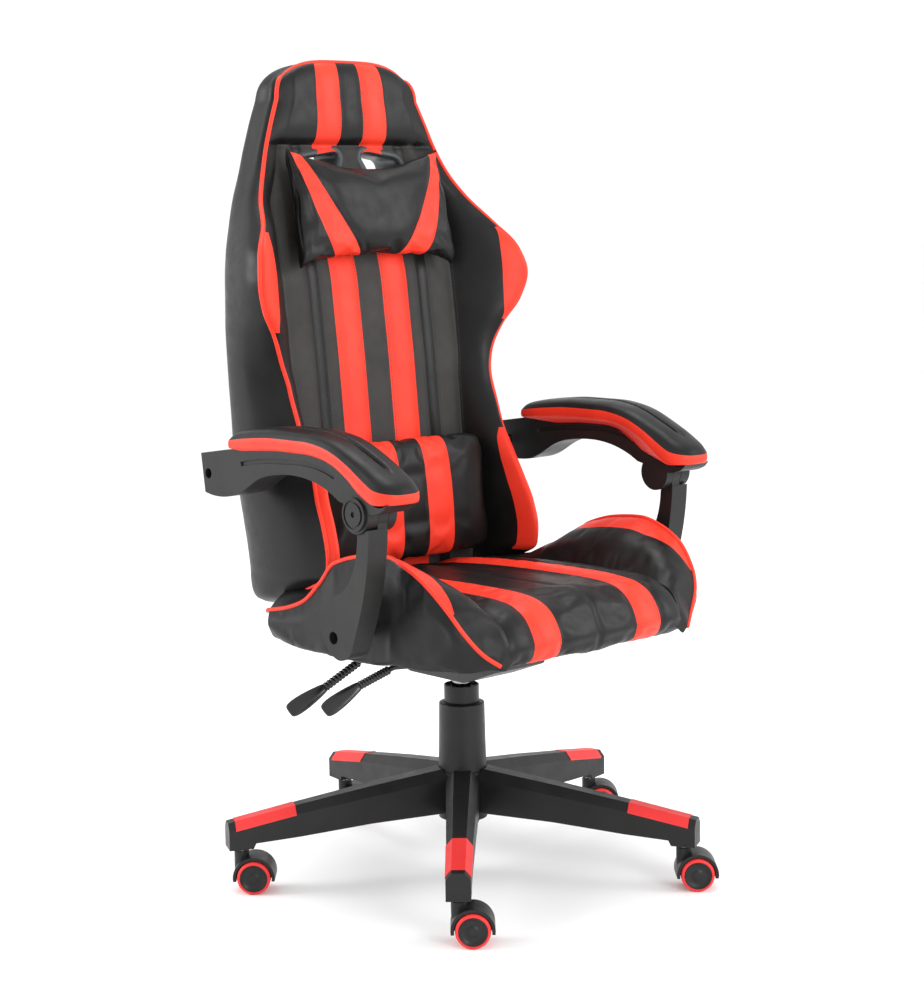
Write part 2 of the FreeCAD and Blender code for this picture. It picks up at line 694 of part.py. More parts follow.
def build_back_foam():
    shell = loft([back_section(row) for row in BACK_STATIONS])
    holes = belt_hole(4.4)
    inside = [frame_tube(size("foam_gap"))] + frame_members(size("foam_gap"))
    inside += [bar(size("bolt_radius") + 1, (x, 190, z), (x, 320, z)) for x, z in carrier_bolt_spots()]
    foam = shell.cut(seat_clearance()).cut(holes).cut(mirrored(holes))
    for piece in inside:
        foam = foam.cut(piece)
    for side in (-1, 1):
        tail = (size("arm_tail_y"), size("arm_tail_z"))
        foam = foam.cut(bar(size("bolt_radius") + 1, (side * 200, *tail), (side * 300, *tail)))
    panel = size("panel_half")
    head = size("head_bottom")
    zones = {
        "headrest_cushion": slab((-400, 0, head + 0.1), (400, 400, 1300)),
        "back_cushion": slab((-panel + 0.1, 0, 400), (panel - 0.1, 400, head - 0.1)),
        "back_wing_right": slab((-400, 0, 400), (-panel - 0.1, 400, head - 0.1)),
        "back_wing_left": slab((panel + 0.1, 0, 400), (400, 400, head - 0.1)),
    }
    for name, zone in zones.items():
        shaped(name, foam.common(zone))


def build_belt_trims():
    ring = belt_hole(4, -2.5, 58).cut(belt_hole(0.5, -20, 120))
    shaped("belt_hole_trims", Part.makeCompound([ring, mirrored(ring)]))


def build_back_steel():
    frame = frame_tube(0)
    for piece in frame_members(0):
        frame = frame.fuse(piece)
    wall = size("tube_wall")
    frame = frame.cut(frame_tube(-wall)).cut(frame_members(-wall)[1])
    hole = size("bolt_radius") + 0.1
    for x, z in carrier_bolt_spots():
        frame = frame.cut(bar(hole, (x, 180, z), (x, 240, z)))
    tail = (size("arm_tail_y"), size("arm_tail_z"))
    for side in (-1, 1):
        frame = frame.cut(bar(hole, (side * 204, *tail), (side * 240, *tail)))
    shaped("back_frame", frame)

    lean = (rear_face(600) - rear_face(430)) / 170
    heel_y = rear_face(430) - lean * (430 - 353) + 1.6
    head_y = heel_y + lean * (524 - 353)
    strap = side_plate("carrier_strap", (
        (size("recline_y") + 13, 347), (heel_y + 6, 347, 8), (head_y + 6.1, 524), (head_y, 524),
        (heel_y, 353, 3), (size("recline_y") + 13, 353)), 76, 0)
    doc.recompute()
    carrier = strap.Shape.copy()
    pin = (size("recline_y"), size("recline_z"))
    for x in (-44, 34):
        eye = bar(12, (x, *pin), (x + 10, *pin))
        arm = slab((x, pin[0], pin[1] - 7), (x + 10, pin[0] + 34, pin[1] + 7))
        carrier = carrier.fuse([eye, arm])
    bore = bar(size("pin_radius") + size("running_gap"), (-60, *pin), (60, *pin))
    carrier = carrier.cut(bore)
    for x, z in carrier_bolt_spots():
        carrier = carrier.cut(bar(hole, (x, 200, z), (x, 320, z)))
    shaped("back_carrier", carrier.removeSplitter())

    bolts = []
    for x, z in carrier_bolt_spots():
        seat_y = heel_y + lean * (z - 353) + 8.4
        shank = bar(size("bolt_radius"), (x, 192, z), (x, seat_y, z))
        bolts.append(shank.fuse(bar(7, (x, seat_y, z), (x, seat_y + 5, z))))
    for side in (-1, 1):
        shank = bar(size("bolt_radius"), (side * 210, *tail), (side * 301, *tail))
        spacer = bar(9, (side * 244, *tail), (side * 276, *tail))
        washer = bar(9.4, (side * 301, *tail), (side * 303, *tail))
        head = bar(6.3, (side * 303, *tail), (side * 308, *tail))
        bolts.append(shank.fuse([spacer, washer, head]))
    shaped("back_bolts", Part.makeCompound(bolts))


def soft_block(width, depth, height, centre, lean, corner):
    """Plain pillow: a block with its edges rounded, leaning back by an angle."""
    block = Part.makeBox(width, depth, height, Vector(-width / 2, -depth / 2, -height / 2))
    block = block.makeFillet(corner, block.Edges)
    block.rotate(Vector(), Vector(1, 0, 0), -lean)
    return block.translated(Vector(*centre))


def build_pillows():
    shaped("head_pillow", soft_block(312, 48, 182, (0, 192, 1005), 11, 18))
    shaped("lumbar_pillow", soft_block(326, 62, 190, (0, 127, 559), 6, 20))
    across = slab((-81, 303.5, 1040), (81, 305.5, 1064))
    legs = [slab((x, 231.5, 1040), (x + 2, 305.5, 1064)) for x in (-81, 79)]
    shaped("head_pillow_strap", across.fuse(legs))


# ---------------------------------------------------------------------------------------------------
# Armrests
# ---------------------------------------------------------------------------------------------------
def arc_solid(points, low_x, high_x, side):
    """A prism across X from a smooth closed outline: each list in points is one spline run."""
    edges = []
    for run in points:
        stops = [Vector(0, y, z) for y, z in run]
        if len(stops) == 2:
            edges.append(Part.LineSegment(*stops).toShape())
        else:
            curve = Part.BSplineCurve()
            curve.interpolate(stops)
            edges.append(curve.toShape())
    face = Part.Face(Part.Wire(edges))
    solid = face.extrude(Vector(high_x - low_x, 0, 0)).translated(Vector(low_x, 0, 0))
    return mirrored(solid) if side < 0 else solid


PAD_SEAM = ((140, 664), (100, 667), (60, 670), (0, 673), (-60, 672), (-105, 661), (-142, 642), (-170, 620),
            (-192, 611), (-212, 616))
PAD_TOP = ((-212, 616), (-221, 627), (-216, 638), (-190, 652), (-150, 674), (-105, 692), (-45, 702),
           (20, 702), (75, 697), (115, 690), (138, 678))
ARM_BELLY = ((-206, 608), (-190, 601), (-172, 599))
ARM_UNDERSIDE = ((-112, 612), (-75, 629), (-30, 638), (20, 637), (70, 625), (108, 604), (140, 595),
                 (196, 597))
ARM_GROOVE = (((108, 648), (60, 656), (0, 660), (-60, 659), (-105, 647)), ((-105, 647), (-102, 641)),
              ((-102, 641), (-60, 652), (0, 653), (60, 649), (106, 642)), ((106, 642), (108, 648)))


def build_armrest(name, side):
    elbow = (size("elbow_y"), size("elbow_z"))
    tail = (size("arm_tail_y"), size("arm_tail_z"))
    outer = size("arm_outer")
    inner = size("arm_inner")
    gap = 0.4
    seam = [(y, z - gap) for y, z in PAD_SEAM]
    body = arc_solid((
        ((204, 654), seam[0]), seam, (seam[-1], ARM_BELLY[0]), ARM_BELLY, (ARM_BELLY[-1], ARM_UNDERSIDE[0]),
        ARM_UNDERSIDE, (ARM_UNDERSIDE[-1], (204, 654))), inner, outer, side)
    radius = size("elbow_radius")
    barrel = bar(radius, (side * inner, *elbow), (side * outer, *elbow))
    narrow = slab((inner - 5, 118, 560), (inner + 12, 230, 700))
    knuckle_room = bar(radius + 0.8, (side * 286.5, *elbow), (side * 304.5, *elbow))
    pin = bar(6, (side * 276, *elbow), (side * 316, *elbow))
    tail_room = bar(12.6, (side * 300, *tail), (side * 310, *tail))
    tail_hole = bar(7.5, (side * 250, *tail), (side * 340, *tail))
    if side < 0:
        narrow = mirrored(narrow)
    body = body.fuse(barrel).cut(narrow).cut(knuckle_room)
    body = body.fuse(pin).cut(tail_room).cut(tail_hole)
    for x in (outer - 3, inner - 1):
        groove = arc_solid(ARM_GROOVE, x, x + 4, side)
        body = body.cut(groove)
    shaped(f"armrest_{name}", body)

    outline = (PAD_SEAM, PAD_TOP, (PAD_TOP[-1], PAD_SEAM[0]))
    pad = arc_solid(outline, size("pad_inner"), size("pad_outer"), side)
    shaped(f"arm_pad_{name}", pad)

    cap = bar(23, (side * (outer + 0.2), *elbow), (side * (outer + 4), *elbow))
    cap = cap.cut(bar(20, (side * (outer + 2.5), *elbow), (side * (outer + 9), *elbow)))
    cap = cap.fuse(bar(16, (side * (outer + 2), *elbow), (side * (outer + 4.4), *elbow)))
    cap = cap.cut(bar(4, (side * (outer + 2), *elbow), (side * (outer + 9), *elbow)))
    shaped(f"elbow_cap_{name}", cap)


POST_FRONT = ((-171, 577), (-169, 548), (-165, 519), (-156, 479), (-142, 437), (-129, 403))
POST_FOOT = ((-129, 403), (-116, 392), (-102, 389), (-84, 397), (-71, 414), (-66, 436), (-74, 463),
             (-94, 479))
POST_REAR = ((-94, 479), (-116, 489), (-130, 506), (-140, 528), (-146, 556), (-147, 573))


def build_post(name, side):
    elbow = (size("elbow_y"), size("elbow_z"))
    foot = (size("post_foot_y"), size("post_foot_z"))
    radius = size("elbow_radius")
    body = arc_solid((POST_FRONT, POST_FOOT, POST_REAR, (POST_REAR[-1], POST_FRONT[0])),
                     size("post_inner"), size("post_outer"), side)
    cheeks = bar(radius + 1, (side * 240, *elbow), (side * 340, *elbow))
    inner = size("post_inner")
    knuckle = bar(radius - 0.4, (side * inner, *elbow), (side * 304, *elbow))
    neck = slab((inner, elbow[0] - 23, elbow[1] - 40), (304, elbow[0] - 1, elbow[1]))
    if side < 0:
        neck = mirrored(neck)
    body = body.cut(cheeks).fuse([knuckle, neck])
    body = body.cut(bar(6 + size("running_gap"), (side * 240, *elbow), (side * 340, *elbow)))
    body = body.cut(bar(size("bolt_radius") + size("running_gap"), (side * 240, *foot), (side * 340, *foot)))
    body = body.cut(bar(9, (side * 303.6, *foot), (side * 340, *foot)))
    shaped(f"arm_post_{name}", body)


# ---------------------------------------------------------------------------------------------------
# Checks and files
# ---------------------------------------------------------------------------------------------------
def check_document():
    doc.recompute()
    for obj in doc.Objects:
        if "Invalid" in obj.State or "Error" in obj.State:
            raise RuntimeError(f"{obj.Label} failed: {obj.State}")
    for obj in nodes:
        if obj.Shape.isNull() or not obj.Shape.isValid():
            raise RuntimeError(f"{obj.Label} has no valid shape")
        if not obj.Shape.Solids:
            raise RuntimeError(f"{obj.Label} has no solid")


def write_files():
    os.makedirs("parts", exist_ok=True)
    for obj in nodes:
        obj.Shape.exportStep(f"parts/{obj.Label}.step")
        print(obj.Label, len(obj.Shape.Solids), round(obj.Shape.Volume))
    print("nodes", len(nodes))


def main():
    fill_sheet()
    build_base()
    build_gas_lift()
    for number, angle in enumerate(leg_angles(), start=1):
        build_caster(number, angle)
    build_mechanism()
    build_levers()
    build_seat()
    build_seat_bolts()
    build_back_foam()
    build_belt_trims()
    build_back_steel()
    build_pillows()
    for name, side in SIDES:
        build_armrest(name, side)
        build_post(name, side)
    check_document()
    write_files()


main()
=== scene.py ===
"""Looks of a racing-style office chair: sewn covers, pillows, moulded and metal finishes, camera and light.

Metres, +Z up, the chair faces -Y. The outlines below repeat those of the soft CAD solids, in millimetres.
"""

import json
import math

import bmesh
import bpy
import numpy as np
from mathutils import Matrix, Vector


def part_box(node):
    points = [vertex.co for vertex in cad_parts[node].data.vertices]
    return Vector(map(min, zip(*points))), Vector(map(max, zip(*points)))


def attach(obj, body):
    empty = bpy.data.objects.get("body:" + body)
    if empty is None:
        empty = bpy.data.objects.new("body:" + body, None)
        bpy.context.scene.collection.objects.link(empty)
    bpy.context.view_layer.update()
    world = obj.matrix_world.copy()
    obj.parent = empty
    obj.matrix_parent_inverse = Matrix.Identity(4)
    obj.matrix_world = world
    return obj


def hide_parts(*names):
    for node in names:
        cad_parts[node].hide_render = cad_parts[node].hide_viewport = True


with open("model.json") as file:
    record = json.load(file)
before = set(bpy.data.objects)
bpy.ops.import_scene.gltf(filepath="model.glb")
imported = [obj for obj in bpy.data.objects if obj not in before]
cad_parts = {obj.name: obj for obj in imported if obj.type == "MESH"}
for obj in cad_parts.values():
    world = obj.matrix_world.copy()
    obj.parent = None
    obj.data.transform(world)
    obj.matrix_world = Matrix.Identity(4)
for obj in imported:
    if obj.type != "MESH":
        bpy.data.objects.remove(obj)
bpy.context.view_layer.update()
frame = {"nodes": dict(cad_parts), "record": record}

MM = 0.001
SIDES = (("right", -1), ("left", 1))

# ---------------------------------------------------------------------------------------------------
# Outlines and widths, in millimetres
# ---------------------------------------------------------------------------------------------------
# Backrest: height, piping x and y, middle panel's front y, widest point x and y, rear corner x, rear y
BACK_ROWS = (
    (414, 190, 196, 184, 198, 204, 176, 224),
    (419, 200, 176, 166, 213, 200, 183, 234),
    (428, 207, 152, 159, 224, 192, 187, 241),
    (440, 211, 124, 156, 230, 184, 190, 246),
    (455, 213, 86, 156, 234, 174, 192, 250),
    (472, 213, 54, 156, 237, 164, 193, 253),
    (500, 213, 51, 158, 239, 162, 194, 258),
    (540, 212, 60, 161, 241, 166, 195, 266),
    (580, 209, 78, 165, 242, 176, 195, 274),
    (620, 203, 95, 169, 242, 190, 195, 279),
    (660, 201, 116, 173, 242, 196, 195, 283),
    (700, 202, 131, 177, 243, 198, 195, 285),
    (740, 203, 145, 181, 245, 202, 195, 286),
    (780, 212, 151, 185, 247, 205, 195, 286),
    (820, 229, 144, 190, 254, 199, 195, 287),
    (860, 256, 131, 195, 262, 186, 194, 288),
    (900, 267, 125, 200, 265, 180, 193, 289),
    (940, 258, 136, 210, 258, 188, 188, 290),
    (980, 230, 163, 219, 237, 206, 180, 293),
    (1020, 206, 199, 227, 214, 228, 168, 296),
    (1060, 184, 221, 236, 191, 242, 154, 298),
    (1100, 167, 233, 244, 173, 252, 141, 300),
    (1140, 151, 239, 246, 156, 258, 128, 300),
    (1170, 138, 243, 247, 142, 262, 116, 300),
)
HEAD_SHOULDER = 1170
HEAD_CORNER = (120, 250, 1203)
HEAD_TOP = 1228
CREASE = 1102
PATCH_FOOT = 462
PANEL_HALF = 170
PATCH_LINE = 234
LOW_PATCH = ((462, 44), (540, 42), (600, 36), (640, 24), (658, 6))
# Height, and how far the wing's front edge rolls inwards from its piping
EDGE_ROLL = ((414, 0), (440, 8), (470, 18), (610, 18), (660, 8), (720, 3), (800, 3), (850, 10), (930, 10), (990, 3),
             (1060, 0), (1240, 0))
BELT_HOLE = ((18, 1092, 7), (98, 1080, 16), (122, 990, 13), (74, 985, 12))

# Seat bolster: distance along Y, cushion height at the bolster, piping x and z, lower edge x and z
BOLSTER_ROWS = (
    (-288, 418, 190, 388, 186, 382),
    (-276, 440, 210, 404, 200, 384),
    (-262, 452, 236, 438, 222, 381),
    (-248, 457, 246, 462, 234, 380),
    (-209, 461, 257, 501, 248, 378),
    (-168, 461, 259, 521, 251, 376),
    (-136, 461, 256, 529, 252, 375),
    (-85, 460, 259, 525, 254, 372),
    (-20, 457, 259, 508, 255, 371),
    (20, 455, 254, 474, 254, 371),
    (66, 453, 251, 440, 252, 371),
    (110, 450, 251, 425, 251, 373),
    (150, 446, 250, 417, 248, 377),
)
# Seat cushion's middle: distance along Y and height, from the rear edge over the nose to the underside
SEAT_RUN = ((146, 384), (152, 412), (146, 438), (110, 449), (20, 457), (-80, 461), (-180, 462), (-232, 459),
            (-264, 447), (-283, 424), (-289, 402), (-282, 386), (-262, 379))
BAND_START = -252
BAND_END = 34

# Armrest pad: distance along Y, height of its lower edge and of its crown
PAD_ROWS = ((140, 664, 686), (115, 666, 692), (75, 669, 698), (20, 672, 702), (-45, 672, 702), (-80, 668, 698),
            (-105, 661, 692), (-142, 642, 677), (-170, 621, 664), (-192, 611, 652), (-221, 613, 640))


# ---------------------------------------------------------------------------------------------------
# Mesh helpers
# ---------------------------------------------------------------------------------------------------
def smooth_table(rows):
    """Lookup through rows of (position, value, ...) along smooth curves that never overshoot."""
    data = np.array(rows, float)
    knots = data[:, 0]
    values = data[:, 1:]
    slope = np.diff(values, axis=0) / np.diff(knots)[:, None]
    before = slope[:-1]
    after = slope[1:]
    tangent = np.zeros_like(values)
    rising = before * after > 0
    tangent[1:-1] = np.where(rising, 2 * before * after / np.where(rising, before + after, 1), 0)
    tangent[0] = slope[0]
    tangent[-1] = slope[-1]

    def look(at):
        at = min(max(at, knots[0]), knots[-1])
        row = min(int(np.searchsorted(knots, at, side="right")) - 1, len(knots) - 2)
        width = knots[row + 1] - knots[row]
        t = (at - knots[row]) / width
        return (values[row] * (1 + 2 * t) * (1 - t) ** 2 + tangent[row] * width * t * (1 - t) ** 2
                + values[row + 1] * t * t * (3 - 2 * t) + tangent[row + 1] * width * t * t * (t - 1))
    return look


def spline(points, count):
    """Even samples of a Catmull-Rom curve through the points."""
    points = np.array(points, float)
    padded = np.vstack((2 * points[0] - points[1], points, 2 * points[-1] - points[-2]))
    dense = []
    for index in range(len(points) - 1):
        a, b, c, d = padded[index:index + 4]
        for t in np.linspace(0, 1, 12, endpoint=False):
            dense.append(0.5 * (2 * b + (c - a) * t + (2 * a - 5 * b + 4 * c - d) * t * t
                                + (3 * b - a - 3 * c + d) * t ** 3))
    dense.append(points[-1])
    return resample(dense, count)


def resample(points, count):
    points = np.array(points, float)
    run = np.concatenate(([0], np.cumsum(np.linalg.norm(np.diff(points, axis=0), axis=1))))
    stops = np.linspace(0, run[-1], count)
    return np.stack([np.interp(stops, run, points[:, axis]) for axis in range(points.shape[1])], axis=1)


def new_object(name, vertices, faces, materials=(), index=None):
    mesh = bpy.data.meshes.new(name)
    mesh.from_pydata([tuple(vertex) for vertex in vertices], [], faces)
    for material in materials:
        mesh.materials.append(material)
    if index is not None:
        mesh.polygons.foreach_set("material_index", index)
    mesh.polygons.foreach_set("use_smooth", [True] * len(mesh.polygons))
    obj = bpy.data.objects.new(name, mesh)
    bpy.context.scene.collection.objects.link(obj)
    return obj


def grid_faces(rows, columns, closed=False):
    """Quads of a grid of points; closed joins the last column to the first."""
    faces = []
    for row in range(rows - 1):
        for column in range(columns if closed else columns - 1):
            beside = (column + 1) % columns
            faces.append((row * columns + column, row * columns + beside,
                          (row + 1) * columns + beside, (row + 1) * columns + column))
    return faces


def tidy(obj, outward_from=None):
    """Weld doubled points and turn every face outwards."""
    work = bmesh.new()
    work.from_mesh(obj.data)
    bmesh.ops.remove_doubles(work, verts=work.verts, dist=1e-5)
    bmesh.ops.dissolve_degenerate(work, edges=work.edges, dist=1e-6)
    bmesh.ops.recalc_face_normals(work, faces=work.faces)
    if outward_from is not None:
        centre = Vector(outward_from)
        facing = sum((face.calc_center_median() - centre).dot(face.normal) * face.calc_area()
                     for face in work.faces)
        if facing < 0:
            bmesh.ops.reverse_faces(work, faces=work.faces)
    work.to_mesh(obj.data)
    work.free()
    return obj


def applied(obj):
    """Bake the object's modifiers into its mesh."""
    graph = bpy.context.evaluated_depsgraph_get()
    mesh = bpy.data.meshes.new_from_object(obj.evaluated_get(graph))
    obj.modifiers.clear()
    obj.data = mesh
    return obj


def subdivided(obj, levels=1):
    modifier = obj.modifiers.new("smooth", "SUBSURF")
    modifier.levels = levels
    modifier.render_levels = levels
    return applied(obj)


def frames_along(points, closed=False):
    """Tangent, side and up at each point of a path, without sudden twist."""
    points = np.array(points, float)
    ahead = np.roll(points, -1, axis=0)
    behind = np.roll(points, 1, axis=0)
    if not closed:
        ahead[-1] = points[-1]
        behind[0] = points[0]
    tangents = ahead - behind
    tangents /= np.linalg.norm(tangents, axis=1)[:, None]
    side = np.cross(tangents[0], (0.31, 0.22, 0.92))
    result = []
    for tangent in tangents:
        side = side - tangent * np.dot(side, tangent)
        side = side / np.linalg.norm(side)
        result.append((tangent, side, np.cross(tangent, side)))
    return result


def tube(name, points, radius, material, closed=False, sides=10, flat=1.0):
    """A round or flattened bead along a path, with its ends closed."""
    vertices = []
    for point, (_, side, up) in zip(points, frames_along(points, closed)):
        for corner in range(sides):
            angle = 2 * math.pi * corner / sides
            vertices.append(np.array(point) + side * radius * math.cos(angle) + up * radius * flat * math.sin(angle))
    faces = grid_faces(len(points), sides, True)
    if closed:
        last = (len(points) - 1) * sides
        faces += [(last + corner, last + (corner + 1) % sides, (corner + 1) % sides, corner)
                  for corner in range(sides)]
    else:
        faces.append(tuple(range(sides)))
        faces.append(tuple(len(vertices) - 1 - corner for corner in range(sides)))
    return tidy(new_object(name, vertices, faces, [material]))


def turned(name, profile, material, start, axis, segments=48):
    """A solid of revolution from (radius, distance) points along an axis from start."""
    axis = Vector(axis).normalized()
    side = axis.orthogonal().normalized()
    up = axis.cross(side)
    vertices = []
    for radius, along in profile:
        for step in range(segments):
            angle = 2 * math.pi * step / segments
            vertices.append(Vector(start) + axis * along + (side * math.cos(angle) + up * math.sin(angle)) * radius)
    return tidy(new_object(name, vertices, grid_faces(len(profile), segments, True), [material]))


def joined(name, objects):
    """Several meshes as one object, each keeping its own material."""
    work = bmesh.new()
    materials = []
    for obj in objects:
        first = len(materials)
        materials += list(obj.data.materials)
        before = len(work.faces)
        work.from_mesh(obj.data)
        work.faces.ensure_lookup_table()
        for face in work.faces[before:]:
            face.material_index += first
    mesh = bpy.data.meshes.new(name)
    work.to_mesh(mesh)
    work.free()
    kept = []
    remap = []
    for material in materials:
        if material not in kept:
            kept.append(material)
        remap.append(kept.index(material))
    for material in kept:
        mesh.materials.append(material)
    for polygon in mesh.polygons:
        polygon.material_index = remap[polygon.material_index]
    for obj in objects:
        bpy.data.objects.remove(obj)
    result = bpy.data.objects.new(name, mesh)
    bpy.context.scene.collection.objects.link(result)
    return result


def split_by_colour(obj, pieces):
    """Cut a cover along its seams: pieces maps each of its materials to the name of that colour's piece."""
    results = {}
    for number, material in enumerate(obj.data.materials):
        work = bmesh.new()
        work.from_mesh(obj.data)
        others = [face for face in work.faces if face.material_index != number]
        bmesh.ops.delete(work, geom=others, context="FACES")
        for face in work.faces:
            face.material_index = 0
        name = pieces[material.name]
        mesh = bpy.data.meshes.new(name)
        work.to_mesh(mesh)
        work.free()
        mesh.materials.append(material)
        piece = bpy.data.objects.new(name, mesh)
        bpy.context.scene.collection.objects.link(piece)
        results[material.name] = piece
    bpy.data.objects.remove(obj)
    return results


def billowed(obj, sewn, pressure, slack, cap):
    """Blow the cover up between its sewn points by cloth simulation, moving no point further than cap."""
    rest = np.array([vertex.co for vertex in obj.data.vertices])
    group = obj.vertex_groups.new(name="sewn")
    group.add([int(point) for point in sewn], 1.0, "REPLACE")
    cloth = obj.modifiers.new("cloth", "CLOTH").settings
    cloth.quality = 6
    cloth.mass = 0.4
    cloth.tension_stiffness = 25
    cloth.compression_stiffness = 25
    cloth.shear_stiffness = 12
    cloth.bending_stiffness = 0.8
    cloth.air_damping = 3
    cloth.vertex_group_mass = "sewn"
    cloth.use_pressure = True
    cloth.uniform_pressure_force = pressure
    cloth.shrink_min = -slack
    cloth.effector_weights.gravity = 0
    for number in range(1, 21):
        bpy.context.scene.frame_set(number)
    applied(obj)
    bpy.context.scene.frame_set(1)
    now = np.array([vertex.co for vertex in obj.data.vertices])
    moved = now - rest
    far = np.linalg.norm(moved, axis=1)
    share = np.where(far > 1e-9, cap * np.tanh(far / cap) / np.maximum(far, 1e-9), 1)
    obj.data.vertices.foreach_set("co", (rest + moved * share[:, None]).ravel())
    obj.data.update()
    return obj


def stitched(name, lines, material, spacing=5.2 * MM, length=3.4 * MM, width=0.45 * MM, lift=0.35 * MM):
    """Rows of thread: each line is a list of (point, normal) pairs along a seam."""
    vertices = []
    faces = []
    for line in lines:
        points = np.array([pair[0] for pair in line])
        normals = np.array([pair[1] for pair in line])
        run = np.concatenate(([0], np.cumsum(np.linalg.norm(np.diff(points, axis=0), axis=1))))
        for start in np.arange(spacing, run[-1] - length, spacing):
            ends = []
            for stop in (start, start + length / 2, start + length):
                point = np.array([np.interp(stop, run, points[:, axis]) for axis in range(3)])
                normal = np.array([np.interp(stop, run, normals[:, axis]) for axis in range(3)])
                ends.append((point, normal / (np.linalg.norm(normal) + 1e-9)))
            along = ends[2][0] - ends[0][0]
            along /= np.linalg.norm(along) + 1e-9
            first = len(vertices)
            for place, rise in ((0, 0.0), (1, 1.0), (2, 0.0)):
                point, normal = ends[place]
                side = np.cross(normal, along) * width
                base = point + normal * lift * (rise - 0.5)
                vertices += [base - side, base + normal * width * 1.3, base + side]
            faces += [(first, first + 1, first + 4, first + 3), (first + 1, first + 2, first + 5, first + 4),
                      (first + 3, first + 4, first + 7, first + 6), (first + 4, first + 5, first + 8, first + 7),
                      (first, first + 3, first + 5, first + 2), (first + 3, first + 6, first + 8, first + 5),
                      (first, first + 2, first + 1), (first + 6, first + 7, first + 8)]
    return new_object(name, vertices, faces, [material])


def puff(t, power=3.0):
    """Height, from 0 at two seams to 1 between them, of a padded strip."""
    return 1 - abs(2 * t - 1) ** power


# ---------------------------------------------------------------------------------------------------
# Materials
# ---------------------------------------------------------------------------------------------------
def start_material(name, colour, roughness, metallic=0.0, coat=0.0, coat_roughness=0.2, sheen=0.0,
                   specular=0.5):
    material = bpy.data.materials.new(name)
    material.use_nodes = True
    tree = material.node_tree
    shader = tree.nodes["Principled BSDF"]
    shader.inputs["Base Color"].default_value = (*colour, 1)
    shader.inputs["Roughness"].default_value = roughness
    shader.inputs["Metallic"].default_value = metallic
    shader.inputs["Coat Weight"].default_value = coat
    shader.inputs["Coat Roughness"].default_value = coat_roughness
    shader.inputs["Sheen Weight"].default_value = sheen
    shader.inputs["Specular IOR Level"].default_value = specular
    place = tree.nodes.new("ShaderNodeTexCoord")
    return material, tree, shader, place.outputs["Object"]


def noise(tree, place, scale, detail=4.0):
    node = tree.nodes.new("ShaderNodeTexNoise")
    node.inputs["Scale"].default_value = scale
    node.inputs["Detail"].default_value = detail
    tree.links.new(place, node.inputs["Vector"])
    return node.outputs["Fac"]


def pebbles(tree, place, scale, feature="F1"):
    node = tree.nodes.new("ShaderNodeTexVoronoi")
    node.feature = feature
    node.inputs["Scale"].default_value = scale
    tree.links.new(place, node.inputs["Vector"])
    return node.outputs["Distance"]


def spread(tree, value, low, high, from_low=0.3, from_high=0.7):
    """Map a texture's value to a range."""
    node = tree.nodes.new("ShaderNodeMapRange")
    node.inputs["From Min"].default_value = from_low
    node.inputs["From Max"].default_value = from_high
    node.inputs["To Min"].default_value = low
    node.inputs["To Max"].default_value = high
    tree.links.new(value, node.inputs["Value"])
    return node.outputs["Result"]


def tint(tree, shader, value, dark, light):
    """Colour that wanders between two close shades."""
    node = tree.nodes.new("ShaderNodeMix")
    node.data_type = "RGBA"
    node.inputs["A"].default_value = (*dark, 1)
    node.inputs["B"].default_value = (*light, 1)
    tree.links.new(value, node.inputs["Factor"])
    tree.links.new(node.outputs["Result"], shader.inputs["Base Color"])


def bumps(tree, shader, layers):
    """Stacked bumps: each layer is (height, strength, distance)."""
    last = None
    for height, strength, distance in layers:
        node = tree.nodes.new("ShaderNodeBump")
        node.inputs["Strength"].default_value = strength
        node.inputs["Distance"].default_value = distance
        tree.links.new(height, node.inputs["Height"])
        if last:
            tree.links.new(last, node.inputs["Normal"])
        last = node.outputs["Normal"]
    tree.links.new(last, shader.inputs["Normal"])


def leather(name, dark, light, rough_low, rough_high, grain=0.35, crease=0.25, specular=0.22):
    """Coated fabric with a fine pebble grain, soft creases and uneven gloss."""
    material, tree, shader, place = start_material(name, light, rough_low, specular=specular)
    clouds = noise(tree, place, 14, 3)
    tint(tree, shader, spread(tree, clouds, 0, 1), dark, light)
    tree.links.new(spread(tree, noise(tree, place, 55, 5), rough_low, rough_high), shader.inputs["Roughness"])
    bumps(tree, shader, (
        (noise(tree, place, 28, 4), crease, 0.0016),
        (pebbles(tree, place, 620, "DISTANCE_TO_EDGE"), grain, 0.0003),
        (noise(tree, place, 1900, 2), grain * 0.5, 0.0001)))
    return material


def moulded(name, dark, light, roughness, grain=0.25, scale=900, specular=0.3):
    """Injection-moulded plastic: spark-eroded texture, slightly uneven gloss and scuffs."""
    material, tree, shader, place = start_material(name, light, roughness, specular=specular)
    tint(tree, shader, spread(tree, noise(tree, place, 9, 3), 0, 1), dark, light)
    tree.links.new(spread(tree, noise(tree, place, 40, 6), roughness - 0.06, roughness + 0.07),
                   shader.inputs["Roughness"])
    bumps(tree, shader, ((noise(tree, place, 60, 2), 0.08, 0.0008), (noise(tree, place, scale, 3), grain, 0.00018)))
    return material


def metal(name, dark, light, roughness, grain=0.1, scale=300, metallic=1.0):
    material, tree, shader, place = start_material(name, light, roughness, metallic=metallic)
    tint(tree, shader, spread(tree, noise(tree, place, 30, 4), 0, 1), dark, light)
    tree.links.new(spread(tree, noise(tree, place, 120, 6), max(roughness - 0.05, 0.03), roughness + 0.08),
                   shader.inputs["Roughness"])
    bumps(tree, shader, ((noise(tree, place, scale, 4), grain, 0.0001),))
    return material


